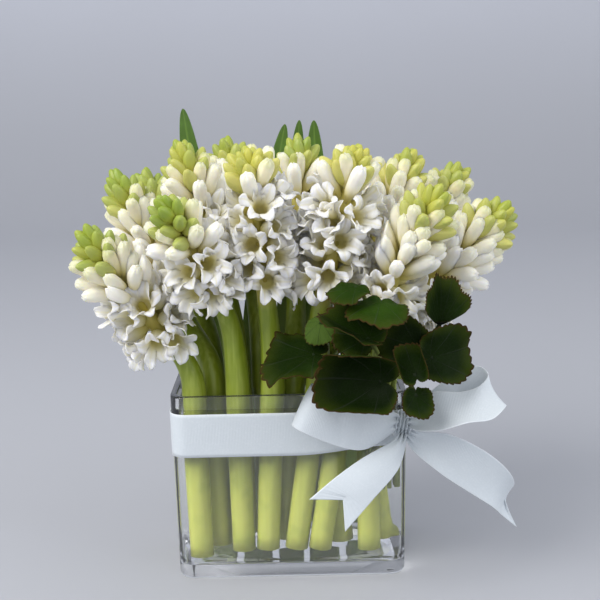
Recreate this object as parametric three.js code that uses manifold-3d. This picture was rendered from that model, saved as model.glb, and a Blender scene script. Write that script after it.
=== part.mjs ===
// White hyacinths in a low glass vase of water, with round toothed leaves and a ribbon tied in a bow.
// Millimetres, +Z up. The origin is the middle of the vase's foot, and the bow is on the -Y side.
import * as THREE from 'three';
import Module from 'manifold-3d';

const wasm = await Module();
wasm.setup();

// Vase and water
const VASE_WIDTH = 134;
const VASE_DEPTH = 80;
const VASE_HEIGHT = 111;
const VASE_TAPER = 1;
const CORNER_RADIUS = 9;
const WALL = 3.8;
const FLOOR_EDGE = 8;
const FLOOR_RISE = 9;
const WATER_LEVEL = 101.6;
const FOOT_ROUND = 3.5;
const RIM_ROUND = 0.8;
const FLOOR_RINGS = [0.97, 0.7, 0.36];

// Air between neighbouring pieces, and a little more where flat facets face round ones
const GAP = 0.3;
const FACET_GAP = 0.4;

// Ribbon
const RIBBON_WIDTH = 25.4;
const RIBBON_THICKNESS = 0.7;
const BAND_TOP = 101;
const BAND_GATHER = 5;

// Hyacinths
const STEM_RADIUS = 6.9;
const NECK_RADIUS = 5.2;
const AXIS_TIP_RADIUS = 2.6;
const STEM_SIDES = 6;
const AXIS_END = 0.81;
const SLEEVE_RADIUS = 6.8;
const OPEN_REACH = 20.5;
const OPEN_RADIUS = 13.5;
const BUD_REACH = 26;
const ROOT_SINK = 1.6;
const TUBE_RADIUS = 4.2;
const TUBE_END = 8;
const SINUS_SHARE = 0.36;
const BEND_SHARE = 0.38;
// How much of its room a head fills before it is pressed in
const FREE_SHARE = 0.85;
const GOLDEN_ANGLE = Math.PI * (3 - Math.sqrt(5));
const SEED = 11;

// Each hyacinth: where its stem leaves the rim and where it stands, where its head starts and ends, and
// how far up the head the florets are open and the buds are white. The heads fan out from the vase and
// form a low dome.
const HYACINTHS = [
  { rim: [-54, -26], foot: [-52.5, -27], base: [-64, -25, 137], tip: [-110, -52, 211],
    open: 0.34, white: 0.54 },
  { rim: [-44, -11], foot: [-42, -12.5], base: [-62, 4, 150], tip: [-100, 8, 238],
    open: 0.3, white: 0.52 },
  { rim: [-29, -26], foot: [-28, -26.5], base: [-37, -33, 166], tip: [-61, -76, 228],
    open: 0.4, white: 0.5 },
  { rim: [-30, 3], foot: [-27, 3], base: [-38, 9, 170], tip: [-61, 13, 253],
    open: 0.38, white: 0.52 },
  { rim: [-9, -27], foot: [-14, -27], base: [-11, -30, 164], tip: [-18, -43, 251],
    open: 0.58, white: 0.64 },
  { rim: [-16, 13], foot: [-14, 12], base: [-22, 30, 170], tip: [-36, 52, 250],
    open: 0.44, white: 0.56 },
  { rim: [3, -9], foot: [-5, -12], base: [6, 14, 170], tip: [10, 32, 252],
    open: 0.44, white: 0.55 },
  { rim: [16.5, -27], foot: [2.5, -27], base: [20, -30, 162], tip: [41, -39, 251],
    open: 0.58, white: 0.64 },
  { rim: [21, -12], foot: [29.5, -14.5], base: [42, 0, 160], tip: [77, 9, 246],
    open: 0.34, white: 0.56 },
  { rim: [32, -28], foot: [16.2, -27.8], base: [47, -29, 150], tip: [85, -55, 231],
    open: 0.26, white: 0.56 },
  { rim: [45, -22], foot: [45, -24], base: [63, -11, 147], tip: [131, -18, 217],
    open: 0.3, white: 0.56 },
  { rim: [42, 5], foot: [54, 0], base: [60, 24, 156], tip: [111, 39, 234],
    open: 0.34, white: 0.56 },
  { rim: [-46, 12], foot: [-46, 10], base: [-57, 29, 156], tip: [-89, 55, 231],
    open: 0.36, white: 0.54 },
  { rim: [20, 15], foot: [20, 13], base: [26, 36, 166], tip: [45, 65, 243],
    open: 0.44, white: 0.56 },
];
const OPEN_PER_MM = 0.2;
const WHITE_PER_MM = 0.6;
const GREEN_BUDS = 10;

// How the items of a head change from the lowest to the highest of their kind: lift above square to the
// axis in radians, reach from the axis, and half thickness
const OPEN_SHAPE = { lift: [-0.3, 0.5], reach: [OPEN_REACH, OPEN_REACH], size: [1, 1], vary: 2.5 };
const WHITE_SHAPE = { lift: [0.62, 1.02], reach: [BUD_REACH, BUD_REACH - 1], size: [5.7, 5], vary: 2 };
const GREEN_SHAPE = { lift: [0.85, 1.5], reach: [23, 17.5], size: [4.4, 3.4], vary: 2 };

// Strap leaves: place on the rim line, middle, tip, and width, all behind the stems
const STRAPS = [
  { rim: [-43, 31], middle: [-52, 66, 176], tip: [-62, 60, 267], width: 19 },
  { rim: [-21, 31.5], middle: [-14, 68, 184], tip: [1, 62, 256], width: 17 },
  { rim: [-1, 31.5], middle: [4, 74, 182], tip: [10, 69, 258], width: 15 },
  { rim: [19, 31.5], middle: [20, 68, 180], tip: [19, 62, 258], width: 18 },
  { rim: [42, 31], middle: [62, 62, 160], tip: [78, 66, 222], width: 20 },
];
const STRAP_THICKNESS = 2;
const STRAP_STEPS = 6;
const STRAP_TAPER = 0.22;
const STRAP_TOP_SHARE = 0.68;
const STRAP_RISE = 38;

// Round leaves: middle of the blade, which way its upper face looks, which way its far edge points,
// blade radius, bend across and along the middle vein, height of the fold along that vein, share of the
// full turn round the stalk that the blade fills, depth of the waves at the edge, and the stalk's place
// in the corner of the vase
const ROUND_LEAVES = [
  { name: 'left', at: [4.3, -61, 138.3], face: [-0.22, -0.4, 0.89], far: [-1, -0.05, -0.05],
    radius: 20, across: 0.2, along: -0.25, fold: 0, spread: 1, wave: 2, stalk: [42.3, -33.3] },
  { name: 'front_cup', at: [36.4, -68.5, 128], face: [0, -0.99, 0.1], far: [-1, 0, 0.1],
    radius: 26, across: 1.75, along: 0.85, fold: 0, spread: 1, wave: 1.6, stalk: [49.6, -32.8] },
  { name: 'folded', at: [34, -75.5, 156], face: [0.3, -0.35, 0.88], far: [-0.86, 0.2, 0.5],
    radius: 19, across: 0.3, along: 0.1, fold: 0.3, spread: 1, wave: 1.2, stalk: [53.2, -32.3] },
  { name: 'bright', at: [48, -81, 168.5], face: [0.05, -0.26, 0.96], far: [-0.2, -0.85, -0.35],
    radius: 16.5, across: -0.3, along: -0.15, fold: 0, spread: 1, wave: 1, stalk: [57, -24.5] },
  { name: 'top', at: [32.5, -74, 177], face: [-0.15, -0.3, 0.94], far: [-0.75, -0.6, 0.1],
    radius: 11.5, across: -0.2, along: -0.3, fold: 0, spread: 1, wave: 1, stalk: [53.5, -28.2] },
  { name: 'middle', at: [62.8, -66, 146.5], face: [0.1, -0.97, 0.25], far: [-0.9, -0.1, 0.35],
    radius: 14.2, across: 0.2, along: -0.2, fold: 0, spread: 1, wave: 1, stalk: [57, -20.5] },
  { name: 'rolled', at: [65, -79.4, 138.6], face: [-0.1, -0.95, 0.3], far: [-0.3, 0.3, 0.9],
    radius: 12, across: 1.7, along: 0.5, fold: 0, spread: 1, wave: 0.6, stalk: [57, -30.5] },
  { name: 'right', at: [84.9, -65.5, 140], face: [0.4, -0.88, 0.2], far: [0.85, 0.45, 0.1],
    radius: 17.5, across: 0.15, along: -0.2, fold: 0.2, spread: 1, wave: 1.4, stalk: [60.3, -23.5] },
  { name: 'fan', at: [82, -65, 165], face: [0.3, -0.93, 0.05], far: [0.05, 0, 0.98],
    radius: 17.8, across: 0.3, along: -0.15, fold: 0.5, spread: 0.36, wave: 0.8, stalk: [60.3, -19.5] },
  { name: 'low', at: [68.5, -76.2, 116], face: [0.1, -0.8, 0.6], far: [0.1, -0.5, -0.85],
    radius: 9.5, across: 0.3, along: 0.2, fold: 0.2, spread: 1, wave: 1, stalk: [60.6, -28] },
  { name: 'behind', at: [36.5, -64, 150.5], face: [0, -0.9, 0.42], far: [-0.95, 0, 0.2],
    radius: 12, across: 0.2, along: 0.1, fold: 0, spread: 1, wave: 0.8, stalk: [46, -33.3] },
  { name: 'inner', at: [18, -59.5, 153], face: [0.2, 0.8, -0.55], far: [-0.2, -0.5, -0.8],
    radius: 9, across: 0.3, along: 0.3, fold: 0, spread: 1, wave: 0.6, stalk: [53.9, -24] },
];
// The slanted plane between the flower heads and the round leaves in front of them
const LEAF_WALL = { through: [50, -52, 150], faces: [0, -1, -0.22] };
const BLADE_THICKNESS = 0.8;
const BLADE_TEETH = 11;
const ROOT_SHIFT = 0.55;
const NOTCH_WIDTH = 0.3;
const NOTCH_DEPTH = 0.7;
const STALK_RADIUS = 1.2;
const STALK_FOOT = 52;
const STALK_SIDES = 4;
const STALK_STEPS = 3;

const UP = new THREE.Vector3(0, 0, 1);
const ACROSS = new THREE.Vector3(1, 0, 0);
const vec = (x, y, z) => new THREE.Vector3(x, y, z);
const lerp = THREE.MathUtils.lerp;
const mix = (a, b, t) => a.clone().lerp(b, t);

// A seeded draw between 0 and 1, the same on every run
function seededDraw(seed) {
  let state = seed;
  return () => {
    state = (state * 16807) % 2147483647;
    return state / 2147483647;
  };
}

// One closed solid from its points and triangles, turned outward if they were listed inside out
function solid(points, faces) {
  const vertProperties = new Float32Array(points.flatMap((p) => [p.x, p.y, p.z]));
  const shape = (triangles) => new wasm.Manifold(
    new wasm.Mesh({ numProp: 3, vertProperties, triVerts: Uint32Array.from(triangles.flat()) }));
  const made = shape(faces);
  return made.volume() > 0 ? made : shape(faces.map(([a, b, c]) => [a, c, b]));
}

// Triangles between two rings of the same count, or between a ring and a single point
function bridge(startA, countA, startB, countB) {
  const faces = [];
  const count = Math.max(countA, countB);
  for (let i = 0; i < count; i += 1) {
    const next = (i + 1) % count;
    if (countA === 1) {
      faces.push([startA, startB + next, startB + i]);
    } else if (countB === 1) {
      faces.push([startA + i, startA + next, startB]);
    } else {
      faces.push([startA + i, startA + next, startB + next], [startA + i, startB + next, startB + i]);
    }
  }
  return faces;
}

// Triangles that close a ring, from side to side, so that a notched strip end stays notched
function capFaces(count) {
  const faces = [];
  let low = 0;
  let high = count - 1;
  while (high - low > 1) {
    faces.push([low, low + 1, high]);
    low += 1;
    if (high - low > 1) {
      faces.push([low, high - 1, high]);
      high -= 1;
    }
  }
  return faces;
}

// A solid through a row of rings; an end ring of several points is closed flat
function loft(rings) {
  const points = rings.flat();
  const faces = [];
  let start = 0;
  rings.forEach((ring, index) => {
    const next = rings[index + 1];
    if (next) {
      faces.push(...bridge(start, ring.length, start + ring.length, next.length));
    }
    if (index === 0 || !next) {
      const end = capFaces(ring.length).map((corners) => corners.map((corner) => start + corner));
      faces.push(...(index === 0 ? end.map(([a, b, c]) => [a, c, b]) : end));
    }
    start += ring.length;
  });
  return solid(points, faces);
}

// The largest body of a solid, with loose scraps and sealed hollows dropped
function largest(shape) {
  return shape.decompose().reduce((best, body) => (body.volume() > best.volume() ? body : best));
}

// A round section about a point, square to a direction
function ringAbout(centre, direction, radius, sides) {
  const side = vec(0, 0, 0).crossVectors(direction, ACROSS).normalize();
  const other = vec(0, 0, 0).crossVectors(side, direction).normalize();
  return Array.from({ length: sides }, (_, i) => {
    const angle = (2 * Math.PI * i) / sides;
    return centre.clone()
      .addScaledVector(other, radius * Math.cos(angle))
      .addScaledVector(side, radius * Math.sin(angle));
  });
}

// A rounded rectangle at one height, with the same number of points for every size
function roundedRectangle(halfX, halfY, radius, z, perCorner = 3) {
  const points = [];
  const corners = [[1, 1], [-1, 1], [-1, -1], [1, -1]];
  corners.forEach(([signX, signY], corner) => {
    for (let i = 0; i <= perCorner; i += 1) {
      const angle = (Math.PI / 2) * (corner + i / perCorner);
      points.push(vec(
        signX * (halfX - radius) + radius * Math.cos(angle),
        signY * (halfY - radius) + radius * Math.sin(angle), z));
    }
  });
  return points;
}

// The glass floor is domed: highest in the middle and low along the walls
function floorHeight(x, y) {
  const nearX = 1 - (x / (VASE_WIDTH / 2 - WALL)) ** 2;
  const nearY = 1 - (y / (VASE_DEPTH / 2 - WALL)) ** 2;
  return FLOOR_EDGE + FLOOR_RISE * Math.max(0, nearX) * Math.max(0, nearY) ** 0.5;
}

// The vase's outline, set in or out from the outer face, at a height
function vaseOutline(inset, z) {
  const lean = VASE_TAPER * (z / VASE_HEIGHT - 1);
  return roundedRectangle(
    VASE_WIDTH / 2 + lean - inset, VASE_DEPTH / 2 + lean - inset, Math.max(CORNER_RADIUS - inset, 2), z);
}

// Rings that follow the domed floor inwards, ending in its middle point
function floorRings(inset, lift) {
  const rings = FLOOR_RINGS.map((scale) => vaseOutline(inset, FLOOR_EDGE).map((p) => {
    const x = p.x * scale;
    const y = p.y * scale;
    return vec(x, y, floorHeight(x, y) + lift);
  }));
  rings.push([vec(0, 0, floorHeight(0, 0) + lift)]);
  return rings;
}

function makeVase() {
  const inner = floorRings(WALL, 0);
  return loft([
    vaseOutline(0.7 * FOOT_ROUND, 0), vaseOutline(0.2 * FOOT_ROUND, 0.3 * FOOT_ROUND),
    vaseOutline(0, FOOT_ROUND),
    vaseOutline(0, VASE_HEIGHT - RIM_ROUND), vaseOutline(RIM_ROUND, VASE_HEIGHT),
    vaseOutline(WALL - RIM_ROUND, VASE_HEIGHT), vaseOutline(WALL, VASE_HEIGHT - RIM_ROUND),
    vaseOutline(WALL, FLOOR_EDGE + 3), ...inner,
  ]);
}

function makeWater() {
  const inset = WALL + GAP;
  const bottom = floorRings(inset, FACET_GAP).reverse();
  return loft([...bottom, vaseOutline(inset, FLOOR_EDGE + 3.4), vaseOutline(inset, WATER_LEVEL)]);
}

// The line of a stem: straight through the water, a smooth bend above the rim, straight through the head
function stemLine(plant) {
  const rim = vec(plant.rim[0], plant.rim[1], VASE_HEIGHT);
  const base = vec(...plant.base);
  const tip = vec(...plant.tip);
  const [footX, footY] = plant.foot;
  const reach = STEM_RADIUS;
  const footZ = Math.max(...[-reach, 0, reach].flatMap((dx) => [-reach, 0, reach].map(
    (dy) => floorHeight(footX + dx, footY + dy)))) + FACET_GAP;
  const foot = vec(footX, footY, footZ);
  const rise = rim.clone().sub(foot).normalize();
  const headWay = tip.clone().sub(base).normalize();
  const span = rim.distanceTo(base) * BEND_SHARE;
  const bend = new THREE.CubicBezierCurve3(
    rim, rim.clone().addScaledVector(rise, span), base.clone().addScaledVector(headWay, -span), base);
  return { foot, rim, base, tip, rise, headWay, bend, length: base.distanceTo(tip) };
}

function axisRadius(t) {
  return lerp(NECK_RADIUS, AXIS_TIP_RADIUS, t);
}

// The stem and the axis of the head as one tube; extra makes it fatter, for the holes that clear it
function stemTube(line, extra) {
  const bendSteps = 4;
  const rings = [
    ringAbout(line.foot, line.rise, STEM_RADIUS * 0.95 + extra, STEM_SIDES),
    ringAbout(line.rim, line.rise, STEM_RADIUS + extra, STEM_SIDES),
  ];
  for (let i = 1; i <= bendSteps; i += 1) {
    const s = i / bendSteps;
    const radius = lerp(STEM_RADIUS, NECK_RADIUS, s) + extra;
    rings.push(ringAbout(line.bend.getPoint(s), line.bend.getTangent(s), radius, STEM_SIDES));
  }
  const end = mix(line.base, line.tip, AXIS_END);
  rings.push(ringAbout(end, line.headWay, axisRadius(AXIS_END) + extra, STEM_SIDES));
  return loft(rings);
}

// The hole in the water that a stem stands in runs right through it
function stemHole(line) {
  const below = line.foot.clone().addScaledVector(line.rise, -FLOOR_EDGE - FLOOR_RISE);
  const above = line.rim.clone().addScaledVector(line.rise, STEM_RADIUS);
  const radius = STEM_RADIUS + FACET_GAP;
  return loft([below, above].map((end) => ringAbout(end, line.rise, radius, STEM_SIDES)));
}

// Places of everything that grows from a head's axis, from the bottom up, spaced by the golden angle
function racemeLayout(plant, line, index) {
  const draw = seededDraw(SEED + 31 * index);
  const items = [];
  const add = (kind, count, from, to, shape) => {
    for (let i = 0; i < count; i += 1) {
      const s = (i + 0.5) / count;
      const chance = draw() - 0.5;
      items.push({
        kind,
        t: lerp(from, to, s),
        turn: items.length * GOLDEN_ANGLE + index * 1.7,
        lift: lerp(...shape.lift, s),
        reach: lerp(...shape.reach, s) + shape.vary * chance,
        size: lerp(...shape.size, s),
      });
    }
  };
  add('open', Math.round(line.length * plant.open * OPEN_PER_MM), 0.03, plant.open, OPEN_SHAPE);
  const whiteCount = Math.round(line.length * (plant.white - plant.open) * WHITE_PER_MM);
  add('white', whiteCount, plant.open + 0.02, plant.white, WHITE_SHAPE);
  add('green', GREEN_BUDS, plant.white + 0.01, AXIS_END - 0.02, GREEN_SHAPE);
  return items;
}

// The flat sides of the room that a head may fill: half way to each other head, and clear of each other
// stem and strap leaf. Returns planes as a normal and the furthest reach along it.
function roomFor(index, lines, straps) {
  const own = new THREE.Line3(lines[index].base, lines[index].tip);
  const planes = [];
  const keepFrom = (start, end, keptBy) => {
    const [near, far] = closestPoints(own, new THREE.Line3(start, end));
    const normal = far.clone().sub(near);
    const distance = normal.length();
    normal.divideScalar(distance);
    planes.push({ normal, reach: normal.dot(near) + keptBy(distance, normal) });
  };
  const halfWay = (distance) => distance / 2 - 0.2;
  const besideStem = (distance) => distance - STEM_RADIUS - 0.5;
  lines.forEach((line, other) => {
    if (other === index) {
      return;
    }
    keepFrom(line.base, line.tip, halfWay);
    const below = [0, 0.34, 0.67, 1].map((s) => line.bend.getPoint(s));
    for (let i = 0; i < below.length - 1; i += 1) {
      keepFrom(below[i], below[i + 1], besideStem);
    }
  });
  straps.forEach((strap) => {
    const steps = [0, 0.2, 0.4, 0.6, 0.8, 1].map((s) => strap.curve.getPoint(s));
    for (let i = 0; i < steps.length - 1; i += 1) {
      keepFrom(steps[i], steps[i + 1], (distance, normal) => (
        distance - Math.abs(normal.x) * strap.width / 2 - STRAP_THICKNESS - 1));
    }
  });
  const wall = vec(...LEAF_WALL.faces).normalize();
  const wallReach = wall.dot(vec(...LEAF_WALL.through));
  if (Math.max(wall.dot(own.start), wall.dot(own.end)) < wallReach) {
    planes.push({ normal: wall, reach: wallReach });
  }
  return planes;
}

// The closest points of two straight lines between their ends, by alternating projections
function closestPoints(lineA, lineB) {
  let onA = lineA.getCenter(vec(0, 0, 0));
  let onB = vec(0, 0, 0);
  for (let i = 0; i < 60; i += 1) {
    onB = lineB.closestPointToPoint(onA, true, vec(0, 0, 0));
    onA = lineA.closestPointToPoint(onB, true, vec(0, 0, 0));
  }
  return [onA, onB];
}

// Moves a point towards its head's axis so that it stays inside the room, softly near the sides
function pressInto(room, line, point) {
  const axis = new THREE.Line3(line.base, line.tip);
  const near = axis.closestPointToPoint(point, true, vec(0, 0, 0));
  const away = point.clone().sub(near);
  const distance = away.length();
  if (distance < 0.001) {
    return point;
  }
  away.divideScalar(distance);
  let limit = Infinity;
  room.forEach(({ normal, reach }) => {
    const slope = normal.dot(away);
    if (slope > 0.001) {
      limit = Math.min(limit, (reach - normal.dot(near)) / slope);
    }
  });
  const free = FREE_SHARE * limit;
  if (distance <= free) {
    return point;
  }
  const pressed = free + (limit - free) * (1 - Math.exp(-(distance - free) / (limit - free)));
  return near.addScaledVector(away, pressed);
}

// The local directions of one item of a head: out along its own line, up its face, and across it
function itemFrame(item, line) {
  const side = vec(0, 0, 0).crossVectors(UP, line.headWay).normalize();
  if (side.lengthSq() < 0.5) {
    side.copy(ACROSS);
  }
  const other = vec(0, 0, 0).crossVectors(line.headWay, side).normalize();
  const radial = side.multiplyScalar(Math.cos(item.turn)).addScaledVector(other, Math.sin(item.turn));
  const out = radial.clone().multiplyScalar(Math.cos(item.lift))
    .addScaledVector(line.headWay, Math.sin(item.lift)).normalize();
  const across = vec(0, 0, 0).crossVectors(line.headWay, radial).normalize();
  const face = vec(0, 0, 0).crossVectors(out, across).normalize();
  const root = mix(line.base, line.tip, item.t);
  return { root, out, across, face };
}

function placeIn(frame, along, aside, up) {
  return frame.root.clone().addScaledVector(frame.out, along)
    .addScaledVector(frame.across, aside).addScaledVector(frame.face, up);
}

// How far out along its own line an item's pointed root lies, just inside the surface that carries it
function rootDepth(item, carrierRadius) {
  return (carrierRadius - ROOT_SINK) / Math.max(Math.cos(item.lift), 0.5);
}

// An open floret: a three-sided tube that widens into six pointed lobes bent back at their tips
function openFloret(frame, item, fit) {
  const neckAlong = item.reach - TUBE_END;
  const points = [placeIn(frame, rootDepth(item, SLEEVE_RADIUS), 0, 0)];
  for (let i = 0; i < 3; i += 1) {
    const angle = ((4 * i + 1) * Math.PI) / 6;
    points.push(placeIn(frame, neckAlong, TUBE_RADIUS * Math.cos(angle), TUBE_RADIUS * Math.sin(angle)));
  }
  for (let i = 0; i < 12; i += 1) {
    const isLobe = i % 2 === 0;
    const radius = OPEN_RADIUS * (isLobe ? item.size : SINUS_SHARE);
    const along = item.reach + (isLobe ? -2.5 : 0.8);
    const angle = (i * Math.PI) / 6;
    points.push(placeIn(frame, along, radius * Math.cos(angle), radius * Math.sin(angle)));
  }
  points.push(placeIn(frame, item.reach - 1.5, 0, 0));
  const faces = [];
  const star = (i) => 4 + ((i + 12) % 12);
  const throat = 16;
  for (let i = 0; i < 3; i += 1) {
    const neck = 1 + i;
    const nextNeck = 1 + ((i + 1) % 3);
    faces.push([0, nextNeck, neck]);
    for (let j = 4 * i - 1; j < 4 * i + 3; j += 1) {
      faces.push([neck, star(j + 1), star(j)]);
    }
    faces.push([neck, nextNeck, star(4 * i + 3)]);
  }
  for (let i = 0; i < 12; i += 1) {
    faces.push([star(i), star(i + 1), throat]);
  }
  return solid(points.map(fit), faces);
}

// A closed bud: a long four-sided spindle, widest past its middle
function closedBud(frame, item, fit, extra = 0) {
  const ring = Array.from({ length: 4 }, (_, i) => {
    const angle = (i * Math.PI) / 2 + item.t * 9;
    const radius = item.size + extra;
    return placeIn(frame, item.reach * 0.62, radius * Math.cos(angle), radius * Math.sin(angle));
  });
  const carrier = item.kind === 'green' ? axisRadius(item.t) : SLEEVE_RADIUS - 0.6;
  const root = placeIn(frame, rootDepth(item, carrier) - extra, 0, 0);
  const rings = [[root], ring, [placeIn(frame, item.reach + extra * 2, 0, 0)]];
  return loft(rings.map((points) => points.map(fit)));
}

// The sleeve of short floret stalks round the head's axis
function sleeve(line, plant) {
  const at = (t, radius) => ringAbout(mix(line.base, line.tip, t), line.headWay, radius, STEM_SIDES);
  return loft([
    at(-0.02, axisRadius(0) + 1.2), at(0.07, SLEEVE_RADIUS), at(plant.white - 0.06, SLEEVE_RADIUS - 1.2),
    at(plant.white + 0.01, axisRadius(plant.white) + 1.2),
  ]);
}

function makeHyacinth(plant, line, index, room) {
  const fit = (point) => pressInto(room, line, point);
  const items = racemeLayout(plant, line, index);
  const greenBuds = (extra) => items.filter((item) => item.kind === 'green')
    .map((item) => closedBud(itemFrame(item, line), item, fit, extra));
  const florets = items.filter((item) => item.kind !== 'green').map((item) => {
    const frame = itemFrame(item, line);
    return item.kind === 'open' ? openFloret(frame, item, fit) : closedBud(frame, item, fit);
  });
  const stem = wasm.Manifold.union([stemTube(line, 0), ...greenBuds(0)]);
  const clearance = wasm.Manifold.union([stemTube(line, FACET_GAP), ...greenBuds(FACET_GAP)]);
  const head = wasm.Manifold.union([sleeve(line, plant), ...florets]).subtract(clearance);
  return { stem: largest(stem), florets: largest(head) };
}

// The line of a strap leaf: straight up from the floor of the vase to the rim, then one bend behind
// the heads
function strapLine(strap) {
  const [x, y] = strap.rim;
  const rim = vec(x, y, VASE_HEIGHT);
  const foot = vec(x, y, floorHeight(x, y) + GAP + 1);
  const curve = new THREE.CubicBezierCurve3(
    rim, vec(x, y, VASE_HEIGHT + STRAP_RISE), vec(...strap.middle), vec(...strap.tip));
  return { ...strap, foot, curve };
}

// One section of a strap leaf: a thick blade, hollowed along its inner side
function strapSection(strap, centre, along, narrowing) {
  const across = vec(0, 0, 0).crossVectors(along, vec(0, 1, 0)).normalize();
  const outward = vec(0, 0, 0).crossVectors(across, along).normalize();
  const half = (strap.width / 2) * narrowing;
  const thick = STRAP_THICKNESS / 2;
  const hollow = 0.12 * half;
  const at = (aside, out) => centre.clone().addScaledVector(across, aside).addScaledVector(outward, out);
  return [
    at(-half, -hollow - thick * 0.35), at(0, -thick + hollow), at(half, -hollow - thick * 0.35),
    at(half, -hollow + thick * 0.35), at(0, thick + hollow), at(-half, -hollow + thick * 0.35),
  ];
}

// A strap leaf from its foot to its blunt point
function makeStrap(strap) {
  const rings = [strapSection(strap, strap.foot, UP, 1)];
  for (let i = 0; i <= STRAP_STEPS; i += 1) {
    const s = Math.sqrt(i / STRAP_STEPS) * 0.5 + (i / STRAP_STEPS) * 0.5;
    const past = Math.max(0, (s - 1) / STRAP_TAPER + 1);
    const narrowing = lerp(1, STRAP_TOP_SHARE, s) * Math.sqrt(Math.max(0.003, 1 - past ** 2));
    rings.push(strapSection(strap, strap.curve.getPoint(s), strap.curve.getTangent(s), narrowing));
  }
  return loft(rings);
}

// The slot in the water that a strap leaf stands in, straight because the leaf is straight there
function strapSlot(strap) {
  const [x, y] = strap.rim;
  const halfX = strap.width / 2 + 0.5;
  const halfY = STRAP_THICKNESS / 2 + 1.4;
  const ring = (z) => [[-1, -1], [1, -1], [1, 1], [-1, 1]].map(
    ([sideX, sideY]) => vec(x + sideX * halfX, y + sideY * halfY, z));
  return loft([ring(0), ring(VASE_HEIGHT)]);
}

// The blade of a round leaf as a bent sheet: flat place to place in space, and the unit normal there
function leafSheet(leaf) {
  const face = vec(...leaf.face).normalize();
  const far = vec(...leaf.far);
  far.addScaledVector(face, -far.dot(face)).normalize();
  const aside = vec(0, 0, 0).crossVectors(face, far);
  const middle = vec(...leaf.at);
  const bendAcross = leaf.across / leaf.radius;
  const bendAlong = leaf.along / leaf.radius;
  const bent = (distance, bend) => (Math.abs(bend) < 1e-6
    ? [distance, 0] : [Math.sin(bend * distance) / bend, (1 - Math.cos(bend * distance)) / bend]);
  const place = (u, v) => {
    const radial = Math.hypot(u, v) / leaf.radius;
    const [vBent, rise] = bent(v, bendAcross);
    const [uBent, lift] = bent(u, bendAlong);
    const waves = leaf.wave * radial ** 3 * Math.sin(5 * Math.atan2(v, u) + leaf.radius);
    const fold = leaf.fold * (Math.hypot(v, 1) - 1);
    const height = rise + lift + waves + fold;
    return middle.clone()
      .addScaledVector(far, uBent)
      .addScaledVector(aside, vBent * (1 - 0.3 * leaf.fold))
      .addScaledVector(face, height);
  };
  const normal = (u, v) => {
    const step = 0.2;
    const alongU = place(u + step, v).sub(place(u - step, v));
    const alongV = place(u, v + step).sub(place(u, v - step));
    return vec(0, 0, 0).crossVectors(alongU, alongV).normalize();
  };
  return { place, normal, root: -ROOT_SHIFT * leaf.radius };
}

// The outline of a round leaf seen from its stalk: nearly a circle, with a notch where the stalk joins,
// and nearer to a plain fan the less of the turn it fills
function leafReach(leaf, angle) {
  const shift = ROOT_SHIFT * leaf.radius;
  const circle = shift * Math.cos(angle) + Math.sqrt(leaf.radius ** 2 - (shift * Math.sin(angle)) ** 2);
  const outline = lerp((1 + ROOT_SHIFT) * leaf.radius, circle, leaf.spread);
  const fromNotch = (Math.PI - Math.abs(angle)) / NOTCH_WIDTH;
  return outline * (1 - NOTCH_DEPTH * Math.exp(-(fromNotch ** 2)));
}

function leafBlade(leaf) {
  const sheet = leafSheet(leaf);
  const flat = [[sheet.root, 0]];
  const ringPoint = (angle, scale) => {
    const reach = leafReach(leaf, angle) * scale;
    const turned = angle * leaf.spread;
    return [sheet.root + reach * Math.cos(turned), reach * Math.sin(turned)];
  };
  for (let i = 0; i < BLADE_TEETH; i += 1) {
    flat.push(ringPoint(((2 * i + 1) / BLADE_TEETH - 1) * Math.PI, 0.55));
  }
  for (let i = 0; i < 2 * BLADE_TEETH; i += 1) {
    flat.push(ringPoint((i / BLADE_TEETH - 1) * Math.PI, i % 2 ? 1.035 : 0.955));
  }
  const inner = (i) => 1 + (i % BLADE_TEETH);
  const edge = (i) => 1 + BLADE_TEETH + (i % (2 * BLADE_TEETH));
  const count = flat.length;
  const sheetFaces = [];
  for (let i = 0; i < BLADE_TEETH; i += 1) {
    sheetFaces.push([0, inner(i), inner(i + 1)]);
    sheetFaces.push([inner(i), edge(2 * i), edge(2 * i + 1)], [inner(i), edge(2 * i + 1), edge(2 * i + 2)]);
    sheetFaces.push([inner(i), edge(2 * i + 2), inner(i + 1)]);
  }
  const faces = sheetFaces.flatMap(([a, b, c]) => [[a, b, c], [a + count, c + count, b + count]]);
  for (let i = 0; i < 2 * BLADE_TEETH; i += 1) {
    const a = edge(i);
    const b = edge(i + 1);
    faces.push([b, a, a + count], [b, a + count, b + count]);
  }
  const shifted = (offset) => flat.map(
    ([u, v]) => sheet.place(u, v).addScaledVector(sheet.normal(u, v), offset));
  return solid([...shifted(BLADE_THICKNESS / 2), ...shifted(-BLADE_THICKNESS / 2)], faces);
}

// The stalk of a round leaf: straight up through the water, over the rim, and into the blade's notch
function makeStalk(leaf) {
  const sheet = leafSheet(leaf);
  const [x, y] = leaf.stalk;
  const rim = vec(x, y, VASE_HEIGHT);
  const join = sheet.place(sheet.root + 1.5, 0);
  const before = sheet.place(sheet.root - 9, 0).addScaledVector(sheet.normal(sheet.root, 0), -5);
  const curve = new THREE.CubicBezierCurve3(rim, vec(x, y, VASE_HEIGHT + 16), before, join);
  const rings = [ringAbout(vec(x, y, STALK_FOOT), UP, STALK_RADIUS, STALK_SIDES)];
  for (let i = 0; i <= STALK_STEPS; i += 1) {
    const s = i / STALK_STEPS;
    rings.push(ringAbout(curve.getPoint(s), curve.getTangent(s), STALK_RADIUS, STALK_SIDES));
  }
  return loft(rings);
}

// The hole in the water round the straight foot of a stalk
function stalkHole(leaf) {
  const [x, y] = leaf.stalk;
  const at = (z) => ringAbout(vec(x, y, z), UP, STALK_RADIUS + FACET_GAP, STALK_SIDES);
  return loft([at(STALK_FOOT - FACET_GAP), at(VASE_HEIGHT)]);
}

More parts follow.
